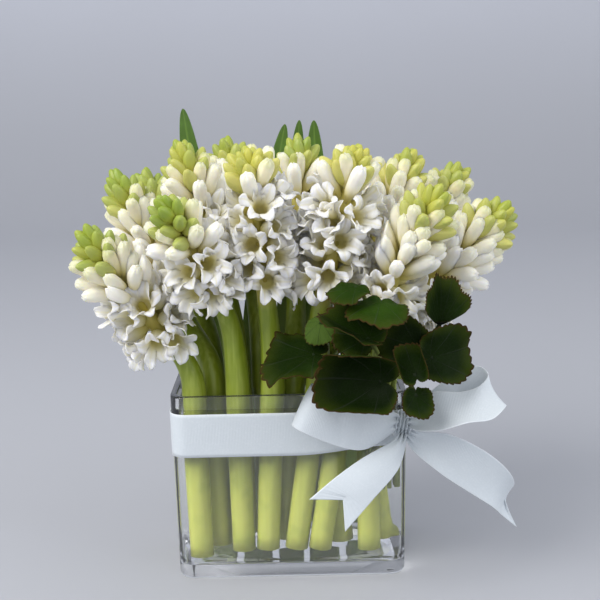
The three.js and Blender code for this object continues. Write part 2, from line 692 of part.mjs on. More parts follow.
// A strip of ribbon between two edges, given as points by hand, with an optional notch cut in its end
function ribbonStrip(edgeA, edgeB, steps, notch = 0) {
  const curveA = new THREE.CatmullRomCurve3(edgeA.map((p) => vec(...p)), false, 'centripetal');
  const curveB = new THREE.CatmullRomCurve3(edgeB.map((p) => vec(...p)), false, 'centripetal');
  const rings = [];
  for (let i = 0; i <= steps; i += 1) {
    const s = i / steps;
    const a = curveA.getPoint(s);
    const b = curveB.getPoint(s);
    const along = curveA.getTangent(s).add(curveB.getTangent(s));
    const thick = vec(0, 0, 0).crossVectors(along, b.clone().sub(a)).normalize()
      .multiplyScalar(RIBBON_THICKNESS / 2);
    const middle = mix(a, b, 0.5);
    if (i === steps) {
      middle.addScaledVector(along.normalize(), -notch);
    }
    rings.push([
      a.clone().sub(thick), middle.clone().sub(thick), b.clone().sub(thick),
      b.clone().add(thick), middle.clone().add(thick), a.clone().add(thick),
    ]);
  }
  return loft(rings);
}

// The ribbon round the vase, a flat ring; its lower edge gathers upwards beside the knot
function makeBand() {
  const bottom = BAND_TOP - RIBBON_WIDTH;
  const gather = (p) => (p.y < 0 ? BAND_GATHER * THREE.MathUtils.smoothstep(p.x, 5, 58) : 0);
  const ring = (inset, z, rise) => vaseOutline(inset, z).map((p) => vec(p.x, p.y, z + rise * gather(p)));
  const outer = -GAP - RIBBON_THICKNESS;
  const solidBand = loft([ring(outer, bottom, 1), ring(outer, BAND_TOP, 0)]);
  return solidBand.subtract(loft([vaseOutline(-GAP, bottom - 8), vaseOutline(-GAP, BAND_TOP + 8)]));
}

// The knot: a pinched oval of ribbon that rests on the band at the corner of the vase
const KNOT = { at: [64, -45.3, 95.5], size: [5.6, 5.8, 7.2], lean: 1.2 };
const KNOT_SECTIONS = [[-1, 0.5], [-0.55, 0.95], [0, 0.85], [0.55, 0.95], [1, 0.5]];

function makeKnot(extra = 0) {
  const [x, y, z] = KNOT.at;
  const [halfX, halfY, halfZ] = KNOT.size.map((half) => half + extra);
  return loft(KNOT_SECTIONS.map(([height, scale]) => Array.from({ length: 8 }, (_, i) => {
    const angle = (i * Math.PI) / 4;
    return vec(
      x + halfX * scale * Math.cos(angle) + height * KNOT.lean,
      y + halfY * scale * Math.sin(angle),
      z + halfZ * height);
  })));
}

// The edges of the bow's loops and tails, from the knot outwards and back
const BOW = {
  bow_loop_left: {
    edgeA: [[63, -47, 99.5], [57, -51, 104], [44.5, -60, 110], [28, -67, 114], [16, -69, 122],
      [13, -62, 124], [20, -55, 120], [37, -49.5, 113.5], [57, -44.5, 102.5], [63, -43.8, 99]],
    edgeB: [[62.5, -47, 93.8], [56, -51.2, 90.5], [42, -60, 85.5], [30, -66, 88.5], [6.5, -70, 100],
      [2, -63.5, 101.5], [9, -56, 97.5], [30, -48, 90], [55, -43.6, 90.5], [62.5, -43.4, 92]],
    steps: 11, notch: 0 },
  bow_loop_right: {
    edgeA: [[65.5, -47, 99.5], [71.2, -55, 111.4], [79.7, -57, 116.5], [95.1, -56, 115.8],
      [105, -55, 118.9], [110.3, -49, 123.5], [106.2, -44, 126.8], [94.9, -42, 123.6],
      [78.1, -43, 111], [65.5, -43.5, 99.5]],
    edgeB: [[65.5, -47, 93.5], [71.2, -60, 95.3], [81.7, -71, 99.1], [95.4, -76, 104.6],
      [108.6, -73, 105.3], [118.1, -63, 109.4], [115.6, -52, 102.5], [102.1, -47, 98.9],
      [80.1, -45, 91.7], [65.5, -43, 94]],
    steps: 11, notch: 0 },
  bow_tail_left: {
    edgeA: [[62.2, -47, 91], [57.5, -54, 88], [39.5, -64, 81.5], [25, -70, 73.5], [10.5, -73, 62.3]],
    edgeB: [[66, -46.6, 90], [64.5, -53.5, 85.5], [59.5, -63.5, 75], [44.5, -71, 60], [29.5, -75, 44]],
    steps: 8, notch: 12 },
  bow_tail_right: {
    edgeA: [[66, -44.6, 92], [72, -47.5, 90.8], [88.5, -51, 90], [110.5, -49, 78], [124, -45, 64.5],
      [128, -38, 54], [125, -33, 49]],
    edgeB: [[64, -44.6, 90], [67.5, -48, 82], [84, -52, 67.5], [101, -51, 55], [114, -49, 45.5],
      [121, -45, 38], [129.5, -41, 29.5]],
    steps: 10, notch: 8 },
};

const COLOURS = {
  glass: { color: 0xdde6ea, roughness: 0.03, metalness: 0 },
  water: { color: 0xd5dfc0, roughness: 0.02, metalness: 0 },
  stem: { color: 0x7f8f2a, roughness: 0.45, metalness: 0 },
  floret: { color: 0xf1efe6, roughness: 0.5, metalness: 0 },
  strap: { color: 0x5f8030, roughness: 0.4, metalness: 0 },
  round_leaf: { color: 0x1c3208, roughness: 0.35, metalness: 0 },
  ribbon: { color: 0xdde2ee, roughness: 0.6, metalness: 0 },
};

const part = new THREE.Group();

// One named mesh from a finished solid
function addMesh(name, shape, finish) {
  const { vertProperties, triVerts } = shape.getMesh();
  const geometry = new THREE.BufferGeometry();
  geometry.setAttribute('position', new THREE.BufferAttribute(new Float32Array(vertProperties), 3));
  geometry.setIndex(new THREE.BufferAttribute(new Uint32Array(triVerts), 1));
  geometry.computeVertexNormals();
  const mesh = new THREE.Mesh(geometry, new THREE.MeshStandardMaterial(COLOURS[finish]));
  mesh.name = name;
  part.add(mesh);
}

const twoDigits = (number) => String(number).padStart(2, '0');
const lines = HYACINTHS.map(stemLine);
const straps = STRAPS.map(strapLine);

addMesh('vase', makeVase(), 'glass');

HYACINTHS.forEach((plant, index) => {
  const { stem, florets } = makeHyacinth(plant, lines[index], index, roomFor(index, lines, straps));
  addMesh(`hyacinth_${twoDigits(index + 1)}_stem`, stem, 'stem');
  addMesh(`hyacinth_${twoDigits(index + 1)}_florets`, florets, 'floret');
});

straps.forEach((strap, index) => {
  addMesh(`strap_leaf_${index + 1}`, makeStrap(strap), 'strap');
});

ROUND_LEAVES.forEach((leaf) => {
  addMesh(`round_leaf_${leaf.name}`, largest(leafBlade(leaf).add(makeStalk(leaf))), 'round_leaf');
});

const holes = wasm.Manifold.union([
  ...lines.map(stemHole),
  ...straps.map(strapSlot),
  ...ROUND_LEAVES.map(stalkHole),
]);
addMesh('water', largest(makeWater().subtract(holes)), 'water');

addMesh('ribbon_band', makeBand(), 'ribbon');
addMesh('bow_knot', makeKnot(), 'ribbon');
Object.entries(BOW).forEach(([name, { edgeA, edgeB, steps, notch }]) => {
  addMesh(name, largest(ribbonStrip(edgeA, edgeB, steps, notch).subtract(makeKnot(GAP + 0.05))), 'ribbon');
});

export default part;
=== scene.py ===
"""White hyacinths in a low glass vase of water, with round toothed leaves and a ribbon tied in a bow."""
import math

import bpy
import numpy as np
from bpy.props import FloatProperty, FloatVectorProperty, IntProperty, PointerProperty
from mathutils import Matrix, Vector


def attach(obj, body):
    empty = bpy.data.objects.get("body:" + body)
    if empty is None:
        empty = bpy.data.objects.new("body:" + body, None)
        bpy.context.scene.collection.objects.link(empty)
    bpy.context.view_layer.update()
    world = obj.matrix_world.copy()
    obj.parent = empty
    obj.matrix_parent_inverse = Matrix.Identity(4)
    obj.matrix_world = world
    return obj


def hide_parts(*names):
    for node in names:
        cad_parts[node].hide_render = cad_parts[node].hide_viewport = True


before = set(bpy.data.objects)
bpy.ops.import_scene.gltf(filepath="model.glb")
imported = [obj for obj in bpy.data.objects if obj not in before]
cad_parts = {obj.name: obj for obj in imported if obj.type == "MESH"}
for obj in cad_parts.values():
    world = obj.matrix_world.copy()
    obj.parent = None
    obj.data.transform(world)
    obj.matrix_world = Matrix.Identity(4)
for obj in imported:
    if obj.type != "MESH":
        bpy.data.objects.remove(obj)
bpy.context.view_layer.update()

bl_info = {
    "name": "Hyacinths in a vase",
    "version": (1, 0, 0),
    "blender": (4, 5, 0),
    "location": "3D View > Sidebar > Hyacinths",
    "description": "Builds a vase of hyacinths, its leaves, water and ribbon, and a plain stage",
    "category": "Add Mesh",
}

# Shapes are worked out in millimetres, and become metres when a piece is made
MM = 0.001

# Vase: its size, its wall, its rounded foot and rim, and its domed floor
VASE_WIDTH = 134
VASE_DEPTH = 80
VASE_HEIGHT = 111
VASE_TAPER = 1
CORNER_RADIUS = 9
LEAST_CORNER = 2
BEND_RINGS = 4
CORNER_POINTS = 12
WALL = 3.8
WALL_RINGS = (30, 60, 90)
FOOT_ROUND = 3.5
FOOT_ROUND_FROM = 0.7
RIM_ROUND = 0.9
FLOOR_EDGE = 8
FLOOR_RISE = 9
FLOOR_RINGS = (0.985, 0.95, 0.9, 0.82, 0.72, 0.6, 0.46, 0.32, 0.18, 0.06)
# Where the wall runs into the floor inside: step in from the wall, and height over the floor's edge
INNER_FILLET = ((0, 5), (0.2, 2.5), (0.9, 0.9))

# Water: it reaches a little into the glass, so that no film of air shows between them
WATER_LEVEL = 101.6
WATER_INTO_GLASS = 0.15
WATER_FOOT = (1.2, 3)
# The water's rim, which climbs the glass: step in from the wall, and height over the water's level
WATER_RIM = ((-WATER_INTO_GLASS, 0.9), (0.3, 0.45), (1.3, 0.1), (3, 0))
WATER_TOP_RINGS = (0.6, 0.2)

# Ribbon: its width, the band round the vase, and the rows and columns of a strip's mesh
RIBBON_WIDTH = 25.4
BAND_TOP = 101
BAND_COLUMNS = 13
BAND_CELL = 4
BAND_STAND = 0.65
# The band's lower edge rises beside the knot by this much, from a place on the front and over a length
BAND_GATHER = 5
GATHER_FROM = 5
GATHER_LENGTH = 53
STRIP_ROWS = 90
STRIP_COLUMNS = 33
NOTCH_FROM = 0.8
# Pleats at the knot, and the bulge of a ribbon that has slack between its edges
PLEATS = 2.6
PLEAT_START = 0.1
PLEAT_SHARE = 0.6
PLEATED_WIDTH = 0.95
PLEATS_REACH = 9
EDGE_STEEPNESS = 9
BULGE_SHARE = 0.3
MOST_GATHERED = 6
# A gathered ribbon's slack is divided by these for the depth of its pleats and the height of its bulge
WAVE_FACTOR = 4.2
ARCH_FACTOR = 2.1

# Hyacinths: their stems, and the axis on which each flower head grows
STEM_RADIUS = 6.9
STEM_FOOT_SHARE = 0.96
STEM_OFF_FLOOR = 0.4
STEM_SIDES = 24
STEM_RINGS = 12
HEAD_RINGS = 13
# The low ribs of a stem: depth as a share of the radius, count round the stem, and turn
STEM_RIBS = ((0.025, 5, 0), (0.012, 9, 1))
NECK_RADIUS = 5.2
AXIS_TIP_RADIUS = 2.6
AXIS_END = 0.81
BEND_SHARE = 0.38
# Florets and buds of a head: how many, and where each kind starts and ends along the head
OPEN_PER_MM = 0.52
WHITE_PER_MM = 1.2
GREEN_BUDS = 17
HEAD_START = 0.09
WHITE_AFTER_OPEN = 0.02
WHITE_LASTS = 0.04
GREEN_AFTER_WHITE = 0.01
GREEN_BEFORE_TIP = 0.02
# They follow one spiral, each a little off it, and each head's spiral is turned from the last one's
GOLDEN_ANGLE = math.pi * (3 - math.sqrt(5))
SPIRAL_LOOSE = 0.5
HEAD_TURN = 1.7
# The draws of each head: the seed of the first, and the step to the next
LAYOUT_SEED = (11, 31)
ITEM_SEED = (77, 101)
# Room of a head: how it keeps clear of heads, stems and strap leaves, and the steps of their curves
HEAD_CLEAR = 0.2
STEM_CLEAR = 0.5
STRAP_CLEAR = 1
STEM_STEPS = (0, 0.34, 0.67, 1)
STRAP_STEPS = (0, 0.2, 0.4, 0.6, 0.8, 1)
CLOSEST_ROUNDS = 60
NO_LIMIT = 1e6
LEAST_SLOPE = 0.001
LEAST_LENGTH = 1e-6
# Petals may reach this far into a neighbour's room, and are pressed in from this share of their own room on
MINGLE = 2.5
FREE_SHARE = 0.85
# A floret or bud with less room than this is left out
LEAST_ROOM = 10
# Each hyacinth: where its stem leaves the rim and where it stands, where its head starts and ends, how far
# up the head the florets are open and the buds are white, and how pale its green buds are
HYACINTHS = [
    {"rim": (-54, -26), "foot": (-52.5, -27), "base": (-64, -25, 137), "tip": (-110, -52, 211),
     "open": 0.34, "white": 0.54, "pale": 0.2},
    {"rim": (-44, -11), "foot": (-42, -12.5), "base": (-62, 4, 150), "tip": (-100, 8, 238),
     "open": 0.3, "white": 0.52, "pale": 0.2},
    {"rim": (-29, -26), "foot": (-28, -26.5), "base": (-37, -33, 166), "tip": (-61, -76, 228),
     "open": 0.4, "white": 0.5, "pale": 0.05},
    {"rim": (-30, 3), "foot": (-27, 3), "base": (-38, 9, 170), "tip": (-61, 13, 253),
     "open": 0.38, "white": 0.52, "pale": 0.45},
    {"rim": (-9, -27), "foot": (-14, -27), "base": (-11, -30, 164), "tip": (-18, -43, 251),
     "open": 0.58, "white": 0.64, "pale": 0.75},
    {"rim": (-16, 13), "foot": (-14, 12), "base": (-22, 30, 170), "tip": (-36, 52, 250),
     "open": 0.44, "white": 0.56, "pale": 0.4},
    {"rim": (3, -9), "foot": (-5, -12), "base": (6, 14, 170), "tip": (10, 32, 252),
     "open": 0.44, "white": 0.55, "pale": 0.3},
    {"rim": (16.5, -27), "foot": (2.5, -27), "base": (20, -30, 162), "tip": (41, -39, 251),
     "open": 0.58, "white": 0.64, "pale": 0.9},
    {"rim": (21, -12), "foot": (29.5, -14.5), "base": (42, 0, 160), "tip": (77, 9, 246),
     "open": 0.34, "white": 0.56, "pale": 0.6},
    {"rim": (32, -28), "foot": (16.2, -27.8), "base": (47, -29, 150), "tip": (85, -55, 231),
     "open": 0.26, "white": 0.56, "pale": 0.5},
    {"rim": (45, -22), "foot": (45, -24), "base": (63, -11, 147), "tip": (131, -18, 217),
     "open": 0.3, "white": 0.56, "pale": 0.5},
    {"rim": (42, 5), "foot": (54, 0), "base": (60, 24, 156), "tip": (111, 39, 234),
     "open": 0.34, "white": 0.56, "pale": 0.4},
    {"rim": (-46, 12), "foot": (-46, 10), "base": (-57, 29, 156), "tip": (-89, 55, 231),
     "open": 0.36, "white": 0.54, "pale": 0.2},
    {"rim": (20, 15), "foot": (20, 13), "base": (26, 36, 166), "tip": (45, 65, 243),
     "open": 0.44, "white": 0.56, "pale": 0.5},
]
# How the items of a head change from the lowest to the highest of their kind
ITEM_SHAPES = {
    "open": {"lift": (0.05, 0.55), "reach": (20.5, 20.5), "size": (1, 1), "vary": 3.5, "loose": 0.7},
    "white": {"lift": (0.8, 1.12), "reach": (30, 28), "size": (4.7, 4.3), "vary": 4, "loose": 0.28},
    "green": {"lift": (0.78, 1.5), "reach": (24.5, 17.5), "size": (4.7, 3.6), "vary": 2, "loose": 0.24},
}
# How late an item turns upright on its way up its kind: 1 is evenly
LIFT_LATE = {"open": 1, "white": 1, "green": 1.9}
# Items sag more the further they reach from here; some are held up instead
SAG = 0.006
SAG_FROM = 4
HELD_UP = 0.3
# Yellow light deep inside a head: its strength on the axis, before it is cut to 1, and how far it reaches
CORE_START = 1.25
CORE_FADE = 15
# How much the paleness of a head's green buds varies
PALE_LOOSE = 0.5

# Open florets: six petals on a tube. The tube's radii are given at shares of the way up to its throat
PETALS = 6
PETAL_ANGLE = 2 * math.pi / PETALS
PETAL_CELLS = 4
PETAL_ROWS = 9
TUBE_AT = np.array([0, 0.16, 0.28, 0.42, 0.62, 0.84, 1.0])
TUBE_R = np.array([1.3, 1.7, 2.8, 4.1, 4.7, 4.5, 4.8])
TUBE_ROWS = len(TUBE_AT)
TUBE_COLUMNS = PETALS * PETAL_CELLS
TUBE_FOOT = 3.2
# The throat lies this far short of the floret's reach, and its colour is this far along from foot to tip
THROAT_BACK = 6
TUBE_MARK = 0.55
PETAL_LENGTH = 12
PETAL_SIZES = (0.94, 1.04)
PETAL_HALF = 3.7
PETAL_THICKNESS = 0.45
# Shares of a petal's length: where it has its full width, where it starts to narrow, and over what it does
PETAL_GROWN = 0.4
PETAL_NARROWS = 0.35
PETAL_NARROWING = 0.655
PETAL_END_HALF = 0.12
# A petal bends back more and more towards its end, and rolls from half its length on
PETAL_FIRST_BEND = 0.05
PETAL_BEND_LATE = 1.2
ROLL_FROM = 0.5
PETAL_KEEL = 0.35
RUFFLES = 5
# How far the florets are open, from the lowest to the highest, and how much each petal differs
OPENED = (1.0, 0.45)
OPENED_VARIES = (0.5, 1.2)
LENGTH_VARIES = (0.92, 1.06)
PETAL_BEND = (0.35, 2.1)
BEND_VARIES = (0.5, 1.15)
PETAL_VARIES = {"roll": (-0.3, 1.6), "lean": (-0.3, 0.3), "curl": (-0.3, 0.7), "ruffle": (0.3, 1.3),
                "phase": (0, 6)}
# The outer and the inner side of a floret: how much of the inner light they take. The inner side's colour
# also stays nearer to the foot's
FLORET_CORE = (1.0, 0.3)
INNER_ALONG = 0.8

# Closed buds: their radii from foot to tip, the grooves between their petals, and how their tips part
BUD_COLUMNS = 18
BUD_FOOT = 2.6
BUD_AT = np.array([0, 0.1, 0.18, 0.26, 0.36, 0.47, 0.57, 0.67, 0.77, 0.85, 0.91, 0.955, 0.985, 1.0])
BUDS = {
    "white": {"radii": (0.28, 0.32, 0.46, 0.64, 0.8, 0.9, 0.95, 0.98, 1, 0.98, 0.9, 0.75, 0.52, 0.2),
              "slim": 0.93, "parted": (3.2, 1.6), "core": 1.0},
    "green": {"radii": (0.3, 0.48, 0.68, 0.84, 0.95, 1, 0.99, 0.94, 0.83, 0.7, 0.56, 0.4, 0.24, 0.08),
              "slim": 0.95, "parted": (0.5, 0.5), "core": 0.4},
}
BUD_VARIES = (0.93, 1.07)
BUD_GROOVE = 0.24
GROOVE_FROM = 0.35
GROOVE_GROWS = 0.4
SEAM_WIDTH = 0.6
TIP_FROM = 0.9
# How young the buds are: the tips of the white ones turn green with it, and the green ones lose their cream
WHITE_YOUNG = (0.6, 1)
YOUNG_LATE = 1.3
GREEN_YOUNG = (0.55, 1)

# Strap leaves: each one's place on the rim, a place on its way, its tip, and its width
STRAPS = [
    {"rim": (-43, 31), "middle": (-52, 66, 176), "tip": (-62, 60, 267), "width": 19},
    {"rim": (-21, 31.5), "middle": (-14, 68, 184), "tip": (1, 62, 256), "width": 17},
    {"rim": (-1, 31.5), "middle": (4, 74, 182), "tip": (10, 69, 258), "width": 15},
    {"rim": (19, 31.5), "middle": (20, 68, 180), "tip": (19, 62, 258), "width": 18},
    {"rim": (42, 31), "middle": (62, 62, 160), "tip": (78, 66, 222), "width": 20},
]
# Their shape: how far they rise straight, the share of their length that tapers, how blunt their end is,
# how much narrower they are at the top, and how hollow and thin-edged they are across
STRAP_THICKNESS = 2
STRAP_OFF_FLOOR = 1.3
STRAP_RISE = 38
STRAP_TAPER = 0.22
STRAP_END = 0.0015
STRAP_TOP_SHARE = 0.68
STRAP_HOLLOW = 0.12
STRAP_EDGE_THIN = 0.65
STRAP_LOW_ROWS = 8
STRAP_ROWS = 48
STRAP_COLUMNS = 11


# Round leaves

def round_leaf(name, at, face, far, stalk, **shape):
    """A leaf: the middle of its blade, where it faces, where its far edge points, where its stalk stands."""
    return {"name": name, "at": at, "face": face, "far": far, "stalk": stalk,
            "fold": 0, "spread": 1, "wave": 1, "bright": 0.1, **shape}


# Further: the blade's radius, its bend across and along the middle vein, the height of its fold, the share of
# a circle that it spreads over, its waves, and how bright its green is
ROUND_LEAVES = [
    round_leaf("left", (4.3, -61, 138.3), (-0.22, -0.4, 0.89), (-1, -0.05, -0.05), (42.3, -33.3),
               radius=20, across=0.2, along=-0.25, wave=2, bright=0.25),
    round_leaf("front_cup", (36.4, -68.5, 128), (0, -0.99, 0.1), (-1, 0, 0.1), (49.6, -32.8),
               radius=26, across=1.75, along=0.85, wave=1.6, bright=0),
    round_leaf("folded", (34, -75.5, 156), (0.3, -0.35, 0.88), (-0.86, 0.2, 0.5), (53.2, -32.3),
               radius=19, across=0.3, along=0.1, fold=0.3, wave=1.2, bright=0.3),
    round_leaf("bright", (48, -81, 168.5), (0.05, -0.26, 0.96), (-0.2, -0.85, -0.35), (57, -24.5),
               radius=16.5, across=-0.3, along=-0.15, bright=1),
    round_leaf("top", (32.5, -74, 177), (-0.15, -0.3, 0.94), (-0.75, -0.6, 0.1), (53.5, -28.2),
               radius=11.5, across=-0.2, along=-0.3, bright=0.8),
    round_leaf("middle", (62.8, -66, 146.5), (0.1, -0.97, 0.25), (-0.9, -0.1, 0.35), (57, -20.5),
               radius=14.2, across=0.2, along=-0.2),
    round_leaf("rolled", (65, -79.4, 138.6), (-0.1, -0.95, 0.3), (-0.3, 0.3, 0.9), (57, -30.5),
               radius=12, across=1.7, along=0.5, wave=0.6, bright=0.15),
    round_leaf("right", (84.9, -65.5, 140), (0.4, -0.88, 0.2), (0.85, 0.45, 0.1), (60.3, -23.5),
               radius=17.5, across=0.15, along=-0.2, fold=0.2, wave=1.4),
    round_leaf("fan", (82, -65, 165), (0.3, -0.93, 0.05), (0.05, 0, 0.98), (60.3, -19.5),
               radius=17.8, across=0.3, along=-0.15, fold=0.5, spread=0.36, wave=0.8),
    round_leaf("low", (68.5, -76.2, 116), (0.1, -0.8, 0.6), (0.1, -0.5, -0.85), (60.6, -28),
               radius=9.5, across=0.3, along=0.2, fold=0.2),
    round_leaf("behind", (36.5, -64, 150.5), (0, -0.9, 0.42), (-0.95, 0, 0.2), (46, -33.3),
               radius=12, across=0.2, along=0.1, wave=0.8, bright=0.3),
    round_leaf("inner", (18, -59.5, 153), (0.2, 0.8, -0.55), (-0.2, -0.5, -0.8), (53.9, -24),
               radius=9, across=0.3, along=0.3, wave=0.6, bright=1),
]
# The leaves press the flower heads back to this plane: a place on it, and where it faces
LEAF_WALL = {"through": (50, -52, 150), "faces": (0, -1, -0.22)}
LEAF_RINGS = 13
LEAF_SPOKES = 238
LEAF_RING_SPREAD = 0.85
LEAF_THICKNESS = 0.5
LEAF_EDGE_THIN = 0.5
FOLD_NARROWS = 0.3
# The outline: where the stalk joins, the notch there, how uneven the edge is, and its teeth
ROOT_SHIFT = 0.55
NOTCH_WIDTH = 0.3
NOTCH_DEPTH = 0.7
UNEVEN = {"depth": 0.05, "count": 5, "turn": -0.61}
TEETH_FROM = 0.75
TOOTH_FOOT = 0.965
TOOTH_DEPTH = 0.06
TOOTH_RISE = 0.68
TOOTH_ROUND = 0.8
# Waves and finer ripples of the edge: height, how close they keep to the edge, how many go round the leaf,
# and how far a leaf's radius turns them
WAVES = {"height": 1, "outer": 3, "count": 5, "turn": 1}
RIPPLES = {"height": 0.45, "outer": 5, "count": 11, "turn": 2}
# Stalk: its size and mesh, how it meets the blade from behind, and where it takes on the blade's colour
STALK_RADIUS = 1.2
STALK_FOOT = 52
STALK_RISE = 16
STALK_ROWS = 24
STALK_SIDES = 12
STALK_JOIN = 1.5
STALK_BACK = 9
STALK_BELOW = 5
BLADE_FROM = 0.6
BLADE_OVER = 0.35

# Bow: the knot's middle, half sizes and lean, and each strip's two edges from the knot on
KNOT = {"at": (64, -45.3, 95.5), "size": (5.6, 5.8, 7.2), "lean": 1.2}
# The knot's mesh, its size over the ribbon's wrap, its narrow waist and its pleats
KNOT_ROWS = 44
KNOT_COLUMNS = 61
KNOT_WIDTH_SHARE = 0.92
KNOT_INSET = (0.5, 0.6)
KNOT_WAIST = (0.86, 0.14)
KNOT_PLEAT = 0.2
KNOT_PLEATS = 5
KNOT_PLEAT_START = 0.6
KNOT_PLEAT_VARIES = 0.3
KNOT_ROUND_SHARE = 0.9
BOW = {
    "bow_loop_left": {
        "edge_a": [(63, -47, 99.5), (57, -51, 104), (44.5, -60, 110), (28, -67, 114), (16, -69, 122),
                   (13, -62, 124), (20, -55, 120), (37, -49.5, 113.5), (57, -44.5, 102.5), (63, -43.8, 99)],
        "edge_b": [(62.5, -47, 93.8), (56, -51.2, 90.5), (42, -60, 85.5), (30, -66, 88.5), (6.5, -70, 100),
                   (2, -63.5, 101.5), (9, -56, 97.5), (30, -48, 90), (55, -43.6, 90.5), (62.5, -43.4, 92)],
        "notch": 0},
    "bow_loop_right": {
        "edge_a": [(65.5, -47, 99.5), (71.2, -55, 111.4), (79.7, -57, 116.5), (95.1, -56, 115.8),
                   (105, -55, 118.9), (110.3, -49, 123.5), (106.2, -44, 126.8), (94.9, -42, 123.6),
                   (78.1, -43, 111), (65.5, -43.5, 99.5)],
        "edge_b": [(65.5, -47, 93.5), (71.2, -60, 95.3), (81.7, -71, 99.1), (95.4, -76, 104.6),
                   (108.6, -73, 105.3), (118.1, -63, 109.4), (115.6, -52, 102.5), (102.1, -47, 98.9),
                   (80.1, -45, 91.7), (65.5, -43, 94)],
        "notch": 0},
    "bow_tail_left": {
        "edge_a": [(62.2, -47, 91), (57.5, -54, 88), (39.5, -64, 81.5), (25, -70, 73.5), (10.5, -73, 62.3)],
        "edge_b": [(66, -46.6, 90), (64.5, -53.5, 85.5), (59.5, -63.5, 75), (44.5, -71, 60),
                   (29.5, -75, 44)],
        "notch": 12},
    "bow_tail_right": {
        "edge_a": [(66, -44.6, 92), (72, -47.5, 90.8), (88.5, -51, 90), (110.5, -49, 78), (124, -45, 64.5),
                   (128, -38, 54), (125, -33, 49)],
        "edge_b": [(64, -44.6, 90), (67.5, -48, 82), (84, -52, 67.5), (101, -51, 55), (114, -49, 45.5),
                   (121, -45, 38), (129.5, -41, 29.5)],
        "notch": 8},
}

# Camera: where it stands in millimetres, how far it looks down and leans in degrees, and its lens
CAMERA = {"at": (7.9, -631.5, 291.9), "down": 12.06, "lean": 1.28, "lens": 66, "sensor": 36}

# Stage, in metres: a floor just under the foot that sweeps up into a backdrop, and two soft lights
FLOOR = {"front": -4.0, "back": 2.2, "sweep": 0.9, "top": 3.4, "half_width": 5.0, "level": -0.0003,
         "steps": 16}
LIGHTS = {
    "window light": {"at": (-0.9, -0.75, 1.15), "size": 1.0, "power": "key_power",
                     "colour": (1.0, 0.985, 0.96)},
    "fill light": {"at": (1.2, -0.5, 0.8), "size": 0.9, "power": "fill_power",
                   "colour": (0.93, 0.96, 1.0)},
}
LIGHTS_AIM = (0, 0, 0.15)


# Small helpers for points and numbers

def unit(v):
    return v / np.linalg.norm(v, axis=-1, keepdims=True)


def smooth(x):
    """A soft step from 0 to 1 while x goes from 0 to 1."""
    x = np.clip(x, 0, 1)
    return x * x * (3 - 2 * x)


def mix(a, b, t):
    return a + (b - a) * t


def seeded_draw(seeds, index):
    """Draws between 0 and 1, the same on every run, from a row of seeds by a plain multiplying generator."""
    factor, span = 16807, 2147483647
    state = seeds[0] + seeds[1] * index
    while True:
        state = state * factor % span
        yield state / span


def bezier(points, s):
    """Places and directions along a four-point Bezier curve."""
    p = np.array(points, float)
    s = np.asarray(s, float)[..., None]
    r = 1 - s
    place = r ** 3 * p[0] + 3 * r ** 2 * s * p[1] + 3 * r * s ** 2 * p[2] + s ** 3 * p[3]
    way = r ** 2 * (p[1] - p[0]) + 2 * r * s * (p[2] - p[1]) + s ** 2 * (p[3] - p[2])
    return place, unit(way)


def smooth_curve(points, s):
    """Places along a centripetal Catmull-Rom curve through given points."""
    p = np.array(points, float)
    p = np.vstack([2 * p[0] - p[1], p, 2 * p[-1] - p[-2]])
    at = np.asarray(s, float) * (len(points) - 1)
    index = np.minimum(at.astype(int), len(points) - 2)
    w = (at - index)[:, None]
    p0, p1, p2, p3 = (p[index + i] for i in range(4))
    pairs = ((p0, p1), (p1, p2), (p2, p3))
    d0, d1, d2 = (np.sqrt(np.linalg.norm(b - a, axis=1))[:, None] for a, b in pairs)
    t1 = ((p1 - p0) / d0 - (p2 - p0) / (d0 + d1) + (p2 - p1) / d1) * d1
    t2 = ((p2 - p1) / d1 - (p3 - p1) / (d1 + d2) + (p3 - p2) / d2) * d1
    return p1 + t1 * w + (3 * (p2 - p1) - 2 * t1 - t2) * w ** 2 + (2 * (p1 - p2) + t1 + t2) * w ** 3


def lengths_along(points):
    """How far each point of a line lies from its first one."""
    return np.concatenate([[0], np.cumsum(np.linalg.norm(np.diff(points, axis=0), axis=1))])


def angles_round(count):
    return np.arange(count) * 2 * math.pi / count


def rings_about(centres, ways, reach):
    """Rings of points about a line. Each row of reach is a ring's distances from the line."""
    side = unit(np.cross(ways, (1, 0, 0)))
    other = unit(np.cross(side, ways))
    angles = angles_round(reach.shape[1])
    return (centres[:, None] + (reach * np.cos(angles))[..., None] * other[:, None]
            + (reach * np.sin(angles))[..., None] * side[:, None])


# Faces of grids of points

def grid_faces(rows, columns, closed=False):
    """Quads between the rows of a grid of points, closed round its columns for a tube."""
    span = columns if closed else columns - 1
    r, c = np.meshgrid(np.arange(rows - 1), np.arange(span), indexing="ij")
    n = (c + 1) % columns
    quads = np.stack([r * columns + c, r * columns + n, (r + 1) * columns + n, (r + 1) * columns + c], -1)
    return quads.reshape(-1, 4).tolist()


def turned_over(faces, count):
    """The same faces on a second layer of points, count points further on, seen from the other side."""
    return [[i + count for i in reversed(face)] for face in faces]


def tube_faces(rows, columns):
    """The faces of a tube with both ends closed."""
    last = (rows - 1) * columns
    ends = [list(reversed(range(columns))), [last + c for c in range(columns)]]
    return grid_faces(rows, columns, True) + ends


def sheet_faces(rows, columns):
    """The faces of a thin closed sheet: an upper and a lower grid of points, and the edge between them."""
    count = rows * columns
    upper = grid_faces(rows, columns)
    rim = [(0, c) for c in range(columns)]
    rim += [(r, columns - 1) for r in range(1, rows)]
    rim += [(rows - 1, c) for c in reversed(range(columns - 1))]
    rim += [(r, 0) for r in reversed(range(1, rows - 1))]
    edge = [r * columns + c for r, c in rim]
    walls = [[b, a, a + count, b + count] for a, b in zip(edge, edge[1:] + edge[:1])]
    return upper + turned_over(upper, count) + walls


